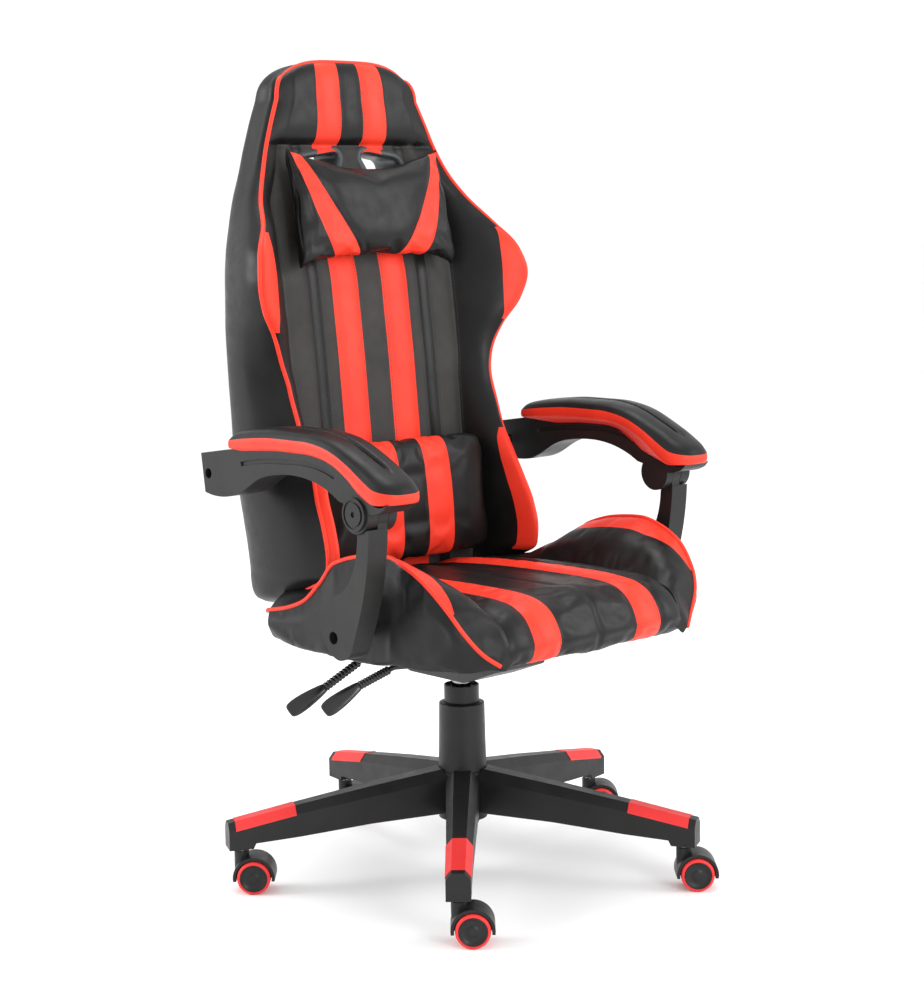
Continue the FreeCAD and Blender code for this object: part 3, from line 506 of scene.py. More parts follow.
def woven(name, dark, light, scale=700):
    """Plain weave: two crossed waves."""
    material, tree, shader, place = start_material(name, light, 0.85, sheen=0.3)
    waves = []
    for direction in ("X", "Z"):
        node = tree.nodes.new("ShaderNodeTexWave")
        node.bands_direction = direction
        node.inputs["Scale"].default_value = scale
        tree.links.new(place, node.inputs["Vector"])
        waves.append(node.outputs["Fac"])
    crossed = tree.nodes.new("ShaderNodeMath")
    crossed.operation = "MAXIMUM"
    tree.links.new(waves[0], crossed.inputs[0])
    tree.links.new(waves[1], crossed.inputs[1])
    tint(tree, shader, spread(tree, crossed.outputs[0], 0, 1, 0.2, 1.0), dark, light)
    bumps(tree, shader, ((crossed.outputs[0], 0.5, 0.0004), (noise(tree, place, 1500, 2), 0.3, 0.0002)))
    return material


BLACK = leather("black_cover", (0.005, 0.005, 0.005), (0.009, 0.009, 0.009), 0.33, 0.45)
RED = leather("red_cover", (0.74, 0.034, 0.016), (0.86, 0.046, 0.022), 0.38, 0.48, grain=0.28)
CHARCOAL = leather("charcoal_cover", (0.026, 0.025, 0.024), (0.036, 0.035, 0.033), 0.50, 0.62, crease=0.12)
GLOSS = leather("gloss_cover", (0.005, 0.005, 0.005), (0.009, 0.009, 0.009), 0.28, 0.36, grain=0.5)
BLACK_THREAD = woven("black_thread", (0.008, 0.008, 0.008), (0.022, 0.022, 0.022), 2500)
UNDERCLOTH = woven("under_cloth", (0.006, 0.006, 0.006), (0.016, 0.016, 0.016), 420)
NYLON = moulded("black_nylon", (0.006, 0.006, 0.006), (0.010, 0.010, 0.010), 0.42, grain=0.35, scale=700)
RED_NYLON = moulded("red_nylon", (0.62, 0.026, 0.026), (0.74, 0.038, 0.036), 0.45)
WHEEL = moulded("wheel_nylon", (0.008, 0.008, 0.008), (0.014, 0.014, 0.014), 0.36)
GREY = moulded("grey_plastic", (0.011, 0.011, 0.011), (0.017, 0.017, 0.0165), 0.42, grain=0.4, scale=800,
               specular=0.25)
RIM = moulded("rim_plastic", (0.034, 0.040, 0.043), (0.044, 0.051, 0.054), 0.36, grain=0.1)
LEVER = moulded("lever_plastic", (0.006, 0.006, 0.006), (0.010, 0.010, 0.010), 0.20, grain=0.05, specular=0.5)
BLACK_STEEL = metal("black_steel", (0.010, 0.010, 0.010), (0.016, 0.016, 0.016), 0.42, 0.3, metallic=0.0)
BRIGHT_STEEL = metal("bright_steel", (0.48, 0.47, 0.46), (0.60, 0.59, 0.58), 0.28)
ZINC = metal("zinc_steel", (0.42, 0.42, 0.43), (0.56, 0.56, 0.57), 0.36, 0.2)
# Chrome's base colour is set darker than real chrome: painted shade that stands in for the darker surroundings a chrome
# tube reflects, so it shows against the white studio.
CHROME = metal("chrome", (0.24, 0.245, 0.255), (0.36, 0.365, 0.37), 0.10, 0.02)
WEBBING = woven("elastic_webbing", (0.008, 0.008, 0.008), (0.020, 0.020, 0.020), 600)

CAD_FINISH = {
    "black_nylon": NYLON, "red_nylon": RED_NYLON, "wheel_nylon": WHEEL, "grey_plastic": GREY,
    "lever_plastic": LEVER, "black_steel": BLACK_STEEL, "bright_steel": BRIGHT_STEEL, "zinc_steel": ZINC,
    "chrome": CHROME, "elastic_webbing": WEBBING, "black_leather": BLACK, "red_leather": RED,
    "charcoal_panel": CHARCOAL}


def fitted(piece, body, *nodes, padded=False):
    """Hang a piece on its body, and let it stand for CAD nodes."""
    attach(piece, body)
    if nodes:
        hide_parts(*nodes)
    return piece


# ---------------------------------------------------------------------------------------------------
# Backrest
# ---------------------------------------------------------------------------------------------------
back_at = smooth_table(BACK_ROWS)
low_patch_at = smooth_table(LOW_PATCH)
roll_at = smooth_table(EDGE_ROLL)
WING_COLUMNS = 9
PATCH_COLUMNS = 5
ROLL_COLUMNS = 4
FRONT_ZONES = (
    # outer edge in mm at full width, columns, puff in mm
    (24, 4, 2.5), (76, 8, 4.5), (99, 4, 2.0), (121, 4, -1.5), (PANEL_HALF, 7, 4.0))


def head_arc(share):
    """Top edge of the headrest, from its middle (0) to its corner (1 or -1)."""
    corner_x, corner_y, corner_z = HEAD_CORNER
    return np.array((corner_x * share, corner_y + 2, corner_z + (HEAD_TOP - corner_z) * (1 - share ** 4)))


def back_heights():
    low = list(np.linspace(414, 472, 14))
    middle = list(np.linspace(478, CREASE - 8, 77))
    high = [CREASE - 4, CREASE, CREASE + 4] + list(np.linspace(CREASE + 10, HEAD_SHOULDER, 9))
    return low + middle + high


TOP_TURNS = [math.radians(angle) for angle in (14, 28, 42, 56, 68, 80, 90)]


def wing_patch_width(z, pipe_x, reach):
    """Width along the wing of its red patch; nearly nothing where there is none."""
    if z < 700:
        return min(low_patch_at(z)[0], reach * 0.6) if PATCH_FOOT < z <= 658 else 4
    return max(4, min((pipe_x - PATCH_LINE) * 1.35, reach * 0.62))


def front_row(z):
    """Half a row of the front: points from the middle to the piping, and the puff of each."""
    pipe_x, pipe_y, panel_y = back_at(z)[:3]
    roll = roll_at(z)[0]
    in_head = z > CREASE
    calm = min(1.0, max(0.0, (z - 424) / 50))
    half = min(PANEL_HALF, pipe_x * 0.82)
    edge = np.array((half, panel_y))
    nose = np.array((pipe_x - 0.76 * roll, pipe_y - 0.65 * roll))
    scale = 1 - (1 - half / PANEL_HALF) * 0.35 if z > 1000 else 1.0
    points = [np.array((0.0, panel_y))]
    heights = [2.5 * calm]
    start = 0.0
    for outer, columns, lift in FRONT_ZONES:
        outer = half if outer == PANEL_HALF else min(outer * scale, half * 0.9)
        for step in range(1, columns + 1):
            t = step / columns
            points.append(np.array((start + (outer - start) * t, panel_y)))
            profile = puff(0.5 + t / 2) if start == 0 else puff(t)
            flat = (start >= 76 * scale - 1) and in_head
            heights.append(0.0 if flat else lift * profile * calm)
        start = outer
    reach = np.linalg.norm(nose - edge)
    patch = wing_patch_width(z, pipe_x, reach) / reach
    swell = min(13.0, reach * 0.16) * calm * np.clip((CREASE - z) / 60, 0, 1)
    for first, last, columns in ((0.0, 1 - patch, WING_COLUMNS), (1 - patch, 1.0, PATCH_COLUMNS)):
        for step in range(1, columns + 1):
            t = first + (last - first) * step / columns
            points.append(edge + (nose - edge) * t)
            heights.append(swell * math.sin(math.pi * t) ** 0.8)
    for step in range(1, ROLL_COLUMNS + 1):
        t = step / ROLL_COLUMNS
        points.append(nose + (np.array((pipe_x, pipe_y)) - nose) * t)
        heights.append(roll * 0.3 * math.sin(math.pi * t))
    return np.array(points), np.array(heights)


def head_crown(z):
    """Extra padding of the headrest above its crease, and the dip at the crease itself."""
    if z > CREASE:
        t = (z - CREASE) / (HEAD_SHOULDER + 30 - CREASE)
        return 14 * math.sin(math.pi * min(t, 1) ** 0.8) ** 0.6 - 3 * max(0, 1 - (z - CREASE) / 8)
    return -3 * max(0, 1 - (CREASE - z) / 8)


def front_grid():
    """Points of the backrest's front, row by row, mirrored about the middle."""
    rows = []
    for z in back_heights():
        points, lifts = front_row(z)
        lifts = lifts + head_crown(z) * np.clip((back_at(z)[0] - points[:, 0]) / 30, 0, 1) ** 0.7
        y_lift = points[:, 1] - lifts
        rows.append(np.stack((points[:, 0], y_lift, np.full(len(points), z)), axis=1))
    base = rows[-1]
    widest = base[-1, 0]
    for turn in TOP_TURNS:
        inward = 1 - math.cos(turn)
        rise = math.sin(turn)
        row = []
        for x, y, z in base:
            arc = head_arc(x / widest)
            row.append((x + (arc[0] - x) * inward, y + (arc[1] - y) * inward, z + (arc[2] - z) * rise))
        rows.append(np.array(row))
    return mirrored_rows(rows)


def mirrored_rows(rows):
    """Full rows from -X to +X out of half rows that start at x = 0."""
    full = []
    for row in rows:
        left = row[:0:-1] * (-1, 1, 1)
        full.append(np.vstack((left, row)))
    return np.array(full)


def shell_row(z):
    """Half a row of the outside: from the piping round the flank to the middle of the rear."""
    pipe_x, pipe_y, _, side_x, side_y, corner_x, rear_y = back_at(z)
    swell = min(1.0, (z - 400) / 120) * 5
    stops = ((pipe_x, pipe_y), ((pipe_x + side_x) / 2 + swell, (pipe_y * 0.6 + side_y * 0.4)), (side_x, side_y),
             ((side_x + corner_x) / 2 + 12, (side_y + rear_y) / 2 + 12), (corner_x, rear_y - 3),
             (corner_x * 0.6, rear_y), (0, rear_y + 2))
    half = spline(stops, 30)
    return np.column_stack((half, np.full(len(half), z)))


def shell_grid():
    rows = [shell_row(z) for z in back_heights()]
    base = rows[-1]
    for turn in TOP_TURNS:
        inward = 1 - math.cos(turn)
        rise = math.sin(turn)
        row = []
        for number, (x, y, z) in enumerate(base):
            arc = head_arc(1 - number / (len(base) - 1))
            row.append((x + (arc[0] - x) * inward, y + (arc[1] + 6 * math.cos(turn) - y) * inward,
                        z + (arc[2] + 1 - z) * rise))
        rows.append(np.array(row))
    return mirrored_rows([row[::-1] for row in rows])


def belt_outline(grow=0.0, count=10):
    """Rounded outline of a belt hole, as (x, z) points in mm."""
    outline = []
    total = len(BELT_HOLE)
    for number, (x, z, radius) in enumerate(BELT_HOLE):
        here = Vector((x, z))
        before = (Vector(BELT_HOLE[number - 1][:2]) - here).normalized()
        after = (Vector(BELT_HOLE[(number + 1) % total][:2]) - here).normalized()
        half = before.angle(after) / 2
        centre = here + (before + after).normalized() * (radius / math.sin(half))
        start = here + before * (radius / math.tan(half)) - centre
        turn = start.angle_signed(here + after * (radius / math.tan(half)) - centre)
        for step in range(count):
            angle = -turn * step / (count - 1)
            spoke = Vector((start.x * math.cos(angle) - start.y * math.sin(angle),
                            start.x * math.sin(angle) + start.y * math.cos(angle)))
            outline.append(centre + spoke + spoke.normalized() * grow)
    return [(point.x, point.y) for point in outline]


def inside(outline, x, z):
    result = False
    for number, (ax, az) in enumerate(outline):
        bx, bz = outline[number - 1]
        if (az > z) != (bz > z) and x < (bx - ax) * (z - az) / (bz - az) + ax:
            result = not result
    return result


def nearest_on(outline, x, z):
    best = None
    for number, start in enumerate(outline):
        a = Vector(outline[number - 1])
        b = Vector(start)
        run = b - a
        share = min(max((Vector((x, z)) - a).dot(run) / max(run.length_squared, 1e-9), 0), 1)
        spot = a + run * share
        gap = (spot - Vector((x, z))).length
        if best is None or gap < best[0]:
            best = (gap, spot)
    return best[1]


def with_belt_holes(grid, materials_index, outline):
    """Quads of a grid with the two belt holes left out, its rim points moved onto the hole's outline."""
    rows, columns = grid.shape[:2]
    within = np.zeros((rows, columns), bool)
    for row in range(rows):
        for column in range(columns):
            x, _, z = grid[row, column]
            if 970 < z < 1115:
                within[row, column] = inside(outline, abs(x), z)
    keep_faces = []
    keep_index = []
    moved = set()
    for number, face in enumerate(grid_faces(rows, columns)):
        corners = [divmod(point, columns) for point in face]
        count = sum(within[corner] for corner in corners)
        if count == 4:
            continue
        keep_faces.append(face)
        keep_index.append(materials_index[number])
        moved.update(corner for corner in corners if within[corner])
    for row, column in moved:
        x, y, z = grid[row, column]
        spot = nearest_on(outline, abs(x), z)
        grid[row, column] = (math.copysign(spot.x, x), y, spot.y)
    return keep_faces, keep_index


def front_colours(grid):
    """Material number of each quad of the front: 0 black, 1 red, 2 charcoal, 3 gloss."""
    half = []
    for number, (_, columns, _) in enumerate(FRONT_ZONES):
        half += [(2, 1, 2, 3, 2)[number]] * columns
    half += [4] * WING_COLUMNS + [5] * (PATCH_COLUMNS + ROLL_COLUMNS)
    order = half[::-1] + half
    colours = []
    rows = grid.shape[0]
    for row in range(rows - 1):
        z = grid[row:row + 2, 0, 2].mean()
        middle_z = grid[row:row + 2, grid.shape[1] // 2, 2].mean()
        for zone in order:
            if zone == 5:
                red = PATCH_FOOT < z < 655 or 828 < z < 972
                colours.append(1 if red else 0)
            elif zone == 4 or (zone in (2, 3) and middle_z > CREASE):
                colours.append(0)
            else:
                colours.append(zone)
    return colours


def build_back_cover():
    grid = front_grid()
    outline = belt_outline(3.0)
    faces, colours = with_belt_holes(grid, front_colours(grid), outline)
    points = grid.reshape(-1, 3) * MM
    cover = new_object("back_front", points, faces, (BLACK, RED, CHARCOAL, GLOSS), colours)
    used = sorted({point for face in faces for point in face})
    columns = grid.shape[1]
    seams = seam_columns()
    crease_rows = [row for row in range(grid.shape[0]) if abs(grid[row, 0, 2] - CREASE) < 0.5]
    sewn = [point for point in used if point % columns in seams or point // columns in crease_rows
            or point // columns in (0, grid.shape[0] - 1) or point // columns < 8]
    sewn += rim_points(cover, used)
    billowed(cover, sorted(set(sewn)), pressure=1.2, slack=0.012, cap=3.5 * MM)
    tidy(cover)
    face_forward(cover)
    lines = seam_lines(cover_points(cover, points), columns, grid)
    subdivided(cover)
    pieces = split_by_colour(cover, {"black_cover": "back_cover_black", "red_cover": "back_stripes_red",
                                     "charcoal_cover": "back_panels_charcoal", "gloss_cover": "back_strips_gloss"})
    fitted(pieces["black_cover"], "backrest", "back_cushion", "headrest_cushion", padded=True)
    for name in ("red_cover", "charcoal_cover", "gloss_cover"):
        fitted(pieces[name], "backrest")
    fitted(stitched("back_stitches", lines, BLACK_THREAD), "backrest")
    return grid


def seam_columns():
    """Column numbers of the front's lengthwise seams."""
    stops = [0]
    for _, columns, _ in FRONT_ZONES:
        stops.append(stops[-1] + columns)
    stops += [stops[-1] + WING_COLUMNS, stops[-1] + WING_COLUMNS + PATCH_COLUMNS + ROLL_COLUMNS]
    middle = stops[-1]
    return {middle + stop for stop in stops[1:]} | {middle - stop for stop in stops[1:]}


def rim_points(cover, used):
    """Open edges of the cover: its outside and the belt holes."""
    counts = {}
    for polygon in cover.data.polygons:
        corners = list(polygon.vertices)
        for first, second in zip(corners, corners[1:] + corners[:1]):
            key = (min(first, second), max(first, second))
            counts[key] = counts.get(key, 0) + 1
    rim = set()
    for (first, second), count in counts.items():
        if count == 1:
            rim.update((first, second))
    return rim


def cover_points(cover, points):
    """The cover's points in their first order where nothing was welded, or else the points it began with."""
    if len(cover.data.vertices) == len(points):
        return np.array([vertex.co for vertex in cover.data.vertices])
    return points


def face_forward(cover):
    """Turn the faces of an open front cover towards -Y."""
    area = sum(polygon.normal.y * polygon.area for polygon in cover.data.polygons)
    if area > 0:
        cover.data.flip_normals()


def seam_lines(points, columns, grid):
    """Stitch rows, 2.6 mm to each side of the stripes' seams, as (point, normal) pairs."""
    lines = []
    place = points.reshape(grid.shape)
    stops = [0]
    for _, count, _ in FRONT_ZONES:
        stops.append(stops[-1] + count)
    middle = stops[-1] + WING_COLUMNS + PATCH_COLUMNS + ROLL_COLUMNS
    for stop in stops[1:]:
        for side in (-1, 1):
            column = middle + side * stop
            for first, last in ((475, CREASE - 6), (CREASE + 6, HEAD_SHOULDER + 20)):
                line = []
                for row in range(grid.shape[0]):
                    z = grid[row, column, 2]
                    if first < z < last and not 984 < z < CREASE + 2:
                        point = place[row, column]
                        beside = place[row, column + side]
                        shifted = point + (beside - point) * 0.45
                        line.append((shifted, (0, -1, 0)))
                if len(line) > 3 and not (first > CREASE and stop > stops[2]):
                    lines.append(line)
    return lines


def build_back_shell():
    grid = shell_grid()
    outline = belt_outline(3.0)
    faces, colours = with_belt_holes(grid, [0] * ((grid.shape[0] - 1) * (grid.shape[1] - 1)), outline)
    shell = new_object("back_shell_black", grid.reshape(-1, 3) * MM, faces, (BLACK,), colours)
    tidy(shell)
    area = sum(polygon.normal.y * polygon.area for polygon in shell.data.polygons)
    if area < 0:
        shell.data.flip_normals()
    subdivided(shell)
    fitted(shell, "backrest", "back_wing_right", "back_wing_left", padded=True)
    return grid


def build_back_floor(front, shell):
    """Closes the backrest's lower end."""
    first = front[0] * MM
    second = shell[0] * MM
    ring = np.vstack((first, second[::-1][1:-1]))
    centre = ring.mean(axis=0)
    middle = centre + (ring - centre) * 0.6 - (0, 0, 4 * MM)
    rows = np.vstack((ring, middle, centre + (ring - centre) * 0.05 - (0, 0, 5 * MM)))
    floor = new_object("back_underside", rows, grid_faces(3, len(ring), True), [BLACK])
    tidy(floor, outward_from=centre + Vector((0, 0, 0.05)))
    fitted(floor, "backrest")


def build_back_piping(front):
    """Red piping from the lower right end, over the headrest, to the lower left end."""
    rows = [row for row in range(front.shape[0]) if front[row, 0, 2] > 421]
    right = [front[row, 0] for row in rows]
    left = [front[row, -1] for row in rows][::-1]
    top = list(front[-1][1:-1])
    path = resample(np.array(right + top + left) * MM, 420)
    fitted(tube("back_piping", path, 3.3 * MM, RED), "backrest")
    lip = path + np.array((0, 3.6 * MM, 0))
    fitted(tube("back_piping_lip", lip, 1.6 * MM, RED, sides=6), "backrest")


def build_belt_rims():
    """Moulded bezel of each belt hole: a flared collar at the front, a sleeve, and a collar at the rear."""
    for name, side in SIDES:
        vertices = []
        profile = ((12.5, 3.0), (12.0, -0.5), (9.0, -3.0), (4.0, -3.4), (0.5, -1.5), (-1.5, 4.0), (-1.5, 12.0),
                   (-1.5, 46.0), (0.0, 50.5), (2.5, 52.5), (7.0, 52.5), (9.0, 50.0))
        outline = belt_outline(0.0, 9)
        lean = smooth_table([(row[0], row[3], row[7]) for row in BACK_ROWS])
        for grow, depth in profile:
            for x, z in belt_outline(grow, 9):
                front, rear = lean(z)
                y = front + depth if depth < 30 else rear - 50 + depth
                vertices.append((side * x * MM, y * MM, z * MM))
        rim = new_object(f"belt_rim_{name}", vertices, grid_faces(len(profile), len(outline), True), [RIM])
        tidy(rim, outward_from=(side * 0.08, 0.27, 1.04))
        subdivided(rim)
        fitted(rim, "backrest", *(("belt_hole_trims",) if side < 0 else ()))


# ---------------------------------------------------------------------------------------------------
# Seat
# ---------------------------------------------------------------------------------------------------
bolster_at = smooth_table(BOLSTER_ROWS)
CUSHION_HALF = 175
SEAT_ZONES = ((77, 11, 5.0), (128, 8, 4.5), (CUSHION_HALF, 7, 4.0))


def seat_grid():
    run = spline(SEAT_RUN, 110)
    rows = []
    for number, (y, z) in enumerate(run):
        ahead = run[min(number + 1, len(run) - 1)]
        behind = run[max(number - 1, 0)]
        tangent = (ahead - behind) / np.linalg.norm(ahead - behind)
        normal = np.array((tangent[1], -tangent[0]))
        normal = -normal if normal[1] < 0 and z > 420 else normal
        normal = np.array((-abs(normal[0]) if y < 0 else abs(normal[0]), normal[1]))
        swell = 1.0 if z > 400 else 0.3
        edge_drop = np.interp(z, (405, 450), (1.0, 5.0))
        row = [np.array((0, *(np.array((y, z)) + normal * SEAT_ZONES[0][2] * swell)))]
        start = 0
        for outer, columns, lift in SEAT_ZONES:
            for step in range(1, columns + 1):
                t = step / columns
                x = start + (outer - start) * t
                profile = puff(0.5 + t / 2) if start == 0 else puff(t)
                crown = 3.0 * (1 - (x / CUSHION_HALF) ** 2) - edge_drop * (x / CUSHION_HALF) ** 6
                shift = normal * (lift * profile + crown) * swell
                row.append(np.array((x, y + shift[0], z + shift[1])))
            start = outer
        rows.append(np.array(row))
    return mirrored_rows(rows)


def build_seat_cushion():
    grid = seat_grid()
    rows, columns = grid.shape[:2]
    half = []
    for number, (_, count, _) in enumerate(SEAT_ZONES):
        half += [(0, 1, 0)[number]] * count
    colours = (half[::-1] + half) * (rows - 1)
    cover = new_object("seat_cover", grid.reshape(-1, 3) * MM, grid_faces(rows, columns), (BLACK, RED), colours)
    stops = np.cumsum([count for _, count, _ in SEAT_ZONES])
    middle = int(stops[-1])
    seams = {middle + int(stop) for stop in stops} | {middle - int(stop) for stop in stops}
    sewn = [point for point in range(rows * columns) if point % columns in seams
            or point // columns in (0, rows - 1)]
    billowed(cover, sewn, pressure=2.5, slack=0.02, cap=6 * MM)
    area = sum(polygon.normal.z * polygon.area for polygon in cover.data.polygons)
    if area < 0:
        cover.data.flip_normals()
    place = np.array([vertex.co for vertex in cover.data.vertices]).reshape(grid.shape)
    lines = []
    for stop in stops[:-1]:
        for side in (-1, 1):
            column = middle + side * int(stop)
            line = []
            for row in range(8, rows - 6):
                tangent = place[row + 1, column] - place[row - 1, column]
                normal = np.cross((1, 0, 0), tangent)
                normal = normal if grid[row, column, 1] > -200 and normal[2] > 0 else normal * np.sign(-normal[1] or 1)
                line.append((place[row, column] + (place[row, column + side] - place[row, column]) * 0.4, normal))
            lines.append(line)
    subdivided(cover)
    pieces = split_by_colour(cover, {"black_cover": "seat_cover_black", "red_cover": "seat_stripes_red"})
    fitted(pieces["black_cover"], "seat", "seat_cushion", padded=True)
    fitted(pieces["red_cover"], "seat")
    fitted(stitched("seat_stitches", lines, BLACK_THREAD), "seat")


def band_width(y, reach):
    """Width of the red band inside the bolster's piping, from its front point to its rear point."""
    t = (y - BAND_START) / (BAND_END - BAND_START)
    if not 0 < t < 1:
        return 3.0
    return max(3.0, min(34, reach * 0.5) * min(1, t / 0.28) ** 0.6 * min(1, (1 - t) / 0.3) ** 0.6)


def bolster_row(y):
    """Points from the cushion's seam over the crest and the piping down to the lower edge."""
    cushion_z, pipe_x, pipe_z, edge_x, edge_z = bolster_at(y)
    seam = np.array((CUSHION_HALF - 2.0, cushion_z - 6))
    pipe = np.array((pipe_x, pipe_z))
    reach = np.linalg.norm(pipe - seam)
    direction = (pipe - seam) / max(reach, 1e-6)
    normal = np.array((-direction[1], direction[0]))
    width = band_width(y, reach) / reach
    points = []
    for first, last, columns in ((0.0, 1 - width, 9), (1 - width, 1.0, 5)):
        for step in range(0 if not points else 1, columns + 1):
            t = first + (last - first) * step / columns
            bulge = min(14.0, reach * 0.17) * math.sin(math.pi * t ** 0.9) ** 0.85
            points.append(seam + (pipe - seam) * t + normal * bulge)
    edge = np.array((edge_x, edge_z))
    drop = pipe_z - edge_z
    tuck = np.interp(y, (-262, -235), (12, -4))
    outside = spline((pipe, (pipe_x + min(3, drop * 0.05), pipe_z - drop * 0.28),
                      ((pipe_x + edge_x) / 2 + min(6, drop * 0.1), (pipe_z + edge_z) / 2),
                      edge + (0, min(6, drop * 0.2)), edge + (-8, -3), edge + (-26, tuck)), 20)
    return np.vstack((points, outside[1:]))


def build_bolsters():
    stations = list(np.linspace(BOLSTER_ROWS[0][0], -250, 10)) + list(np.linspace(-244, 150, 66))
    for name, side in SIDES:
        grid = np.array([[(side * x, y, z) for x, z in bolster_row(y)] for y in stations])
        rows, columns = grid.shape[:2]
        colours = []
        for row in range(rows - 1):
            y = grid[row:row + 2, 0, 1].mean()
            red = BAND_START < y < BAND_END
            colours += [0] * 9 + [1 if red else 0] * 5 + [0] * (columns - 15)
        points = grid.reshape(-1, 3) * MM
        cover = new_object(f"bolster_{name}", points, grid_faces(rows, columns), (BLACK, RED), colours)
        sewn = [point for point in range(rows * columns) if point % columns in (0, 9, 14, columns - 1)
                or point // columns in (0, rows - 1)]
        billowed(cover, sewn, pressure=1.5, slack=0.012, cap=3 * MM)
        cap_faces(cover, rows, columns)
        tidy(cover, outward_from=(side * 0.215, -0.05, 0.42))
        subdivided(cover)
        pieces = split_by_colour(cover, {"black_cover": f"seat_bolster_{name}_black",
                                         "red_cover": f"seat_bolster_{name}_red"})
        fitted(pieces["black_cover"], "seat", f"seat_bolster_{name}", padded=True)
        fitted(pieces["red_cover"], "seat")
        pipe = grid[:, 14] * MM
        rear = [pipe[-1] + np.array((-side * 3, 5, -3)) * MM]
        path = resample(np.vstack((pipe, rear)), 160)
        fitted(tube(f"seat_piping_{name}", path, 3.0 * MM, RED), "seat")


def cap_faces(cover, rows, columns):
    """Close the bolster's two ends with a fan of quads."""
    work = bmesh.new()
    work.from_mesh(cover.data)
    for row in (0, rows - 1):
        work.verts.ensure_lookup_table()
        ring = [work.verts[row * columns + column] for column in range(columns)]
        centre = sum((vertex.co for vertex in ring), Vector()) / len(ring)
        outer = [centre + (vertex.co - centre) * 0.5 for vertex in ring]
        inner = [work.verts.new(spot) for spot in outer]
        for number in range(columns - 1):
            work.faces.new((ring[number], ring[number + 1], inner[number + 1], inner[number]))
        work.faces.new(inner)
    work.to_mesh(cover.data)
    work.free()


def build_seat_underside():
    """Stapled dust cloth under the seat, sagging a little between its edges."""
    rows = []
    for y in np.linspace(-272, 140, 36):
        edge_x, edge_z = bolster_at(y)[3:]
        row = []
        for share in np.linspace(-1, 1, 40):
            sag = 2.5 * (1 - share ** 2)
            hollow = 0.0 if abs(share * edge_x) > 97 or abs(y) > 112 else 4.0
            row.append((share * (edge_x - 22), y, max(edge_z, 374) - 1 - sag * 0.4 + hollow))
        rows.append(row)
    points = np.array(rows).reshape(-1, 3) * MM
    cloth = new_object("seat_underside", points, grid_faces(36, 40), [UNDERCLOTH])
    cloth.data.flip_normals()
    fitted(cloth, "seat")


# ---------------------------------------------------------------------------------------------------
# Pillows
# ---------------------------------------------------------------------------------------------------
def lean_back(points, centre, degrees):
    turn = Matrix.Rotation(-math.radians(degrees), 3, "X")
    return [turn @ Vector(point) * MM + Vector(centre) * MM for point in points]


def squared(value, power):
    return math.copysign(abs(value) ** power, value)


def lumbar_shape(u, angle, half_width, half_depth, half_height):
    """Rounded bolster cushion: full between its seams, with rounded ends."""
    end = max(0.0, 1 - abs(u) ** 5) ** 0.42
    y = -half_depth * squared(math.cos(angle), 0.72) * (0.35 + 0.65 * end)
    z = half_height * squared(math.sin(angle), 0.62) * (0.84 + 0.16 * end)
    if abs(u) == 1:
        y *= 0.3
        z *= 0.8
    return (half_width * u, y, z)


def head_shape(u, angle, half_width, half_depth, half_height):
    """Head pillow: full belly, top edge pulled up into two corners, and flat folded ends that hang lower."""
    end = max(0.0, 1 - abs(u) ** 4) ** 0.5
    rise = squared(math.sin(angle), 0.66)
    y = -half_depth * squared(math.cos(angle), 0.8) * (0.16 + 0.84 * end)
    y *= 1.0 if y < 0 else 0.6
    waist = 0.24 * (1 - abs(u) ** 2.2) if rise > 0 else 0.2 * (1 - abs(u) ** 3.5)
    fold = max(0.0, (abs(u) - 0.78) / 0.22) ** 1.3
    y += 3.5 * fold * math.sin(7 * rise + 3 * u) - 2.0 * fold * math.sin(13 * rise)
    return (half_width * u * (1 - 0.05 * fold * (1 - rise * rise)), y, half_height * rise * (1 - waist))


def pillow(name, body, node, centre, lean, shape, columns, rows, boundaries):
    """A stuffed pillow with red stripes; boundaries gives a seam's |u| at each angle, inner then outer."""
    low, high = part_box(node)
    width = (high.x - low.x) / MM
    depth, height = PILLOW_SIZE[node]
    marks = boundary_columns(columns)
    points = []
    for column in range(2 * columns + 1):
        for row in range(rows):
            angle = 2 * math.pi * row / rows
            u = column_share(column - columns, columns, boundaries(angle), marks)
            points.append(shape(u, angle, width / 2, depth / 2, height / 2))
    faces = grid_faces(2 * columns + 1, rows, True)
    colours = []
    for column in range(2 * columns):
        inner = min(abs(column - columns), abs(column + 1 - columns))
        colours += [1 if marks[0] <= inner < marks[1] else 0] * rows
    for first in (0, 2 * columns * rows):
        faces.append(tuple(range(first, first + rows)))
        colours.append(0)
    cover = new_object(name, lean_back(points, centre, lean), faces, (BLACK, RED), colours)
    seams = [column * rows + row for column in range(2 * columns + 1) if abs(column - columns) in marks
             for row in range(rows)]
    outward(cover)
    billowed(cover, seams, pressure=4.0, slack=0.035, cap=8 * MM)
    subdivided(cover)
    pieces = split_by_colour(cover, {"black_cover": name, "red_cover": f"{name}_stripes"})
    fitted(pieces["black_cover"], body, node, padded=True)
    fitted(pieces["red_cover"], body)


def boundary_columns(columns):
    return (round(columns * 0.3), round(columns * 0.56))


def column_share(column, columns, seams, marks):
    """|u| of a column, spread evenly between the pillow's middle, its two seams and its end."""
    distance = abs(column)
    inner, outer = seams
    if distance <= marks[0]:
        share = inner * distance / marks[0]
    elif distance <= marks[1]:
        share = inner + (outer - inner) * (distance - marks[0]) / (marks[1] - marks[0])
    else:
        share = outer + (1 - outer) * ((distance - marks[1]) / (columns - marks[1])) ** 0.8
    return math.copysign(share, column)


def outward(closed):
    """Turn the faces of a closed mesh outwards."""
    work = bmesh.new()
    work.from_mesh(closed.data)
    bmesh.ops.recalc_face_normals(work, faces=work.faces)
    work.to_mesh(closed.data)
    work.free()


PILLOW_SIZE = {"lumbar_pillow": (56, 184), "head_pillow": (48, 180)}


def lumbar_seams(angle):
    return (0.155, 0.47)


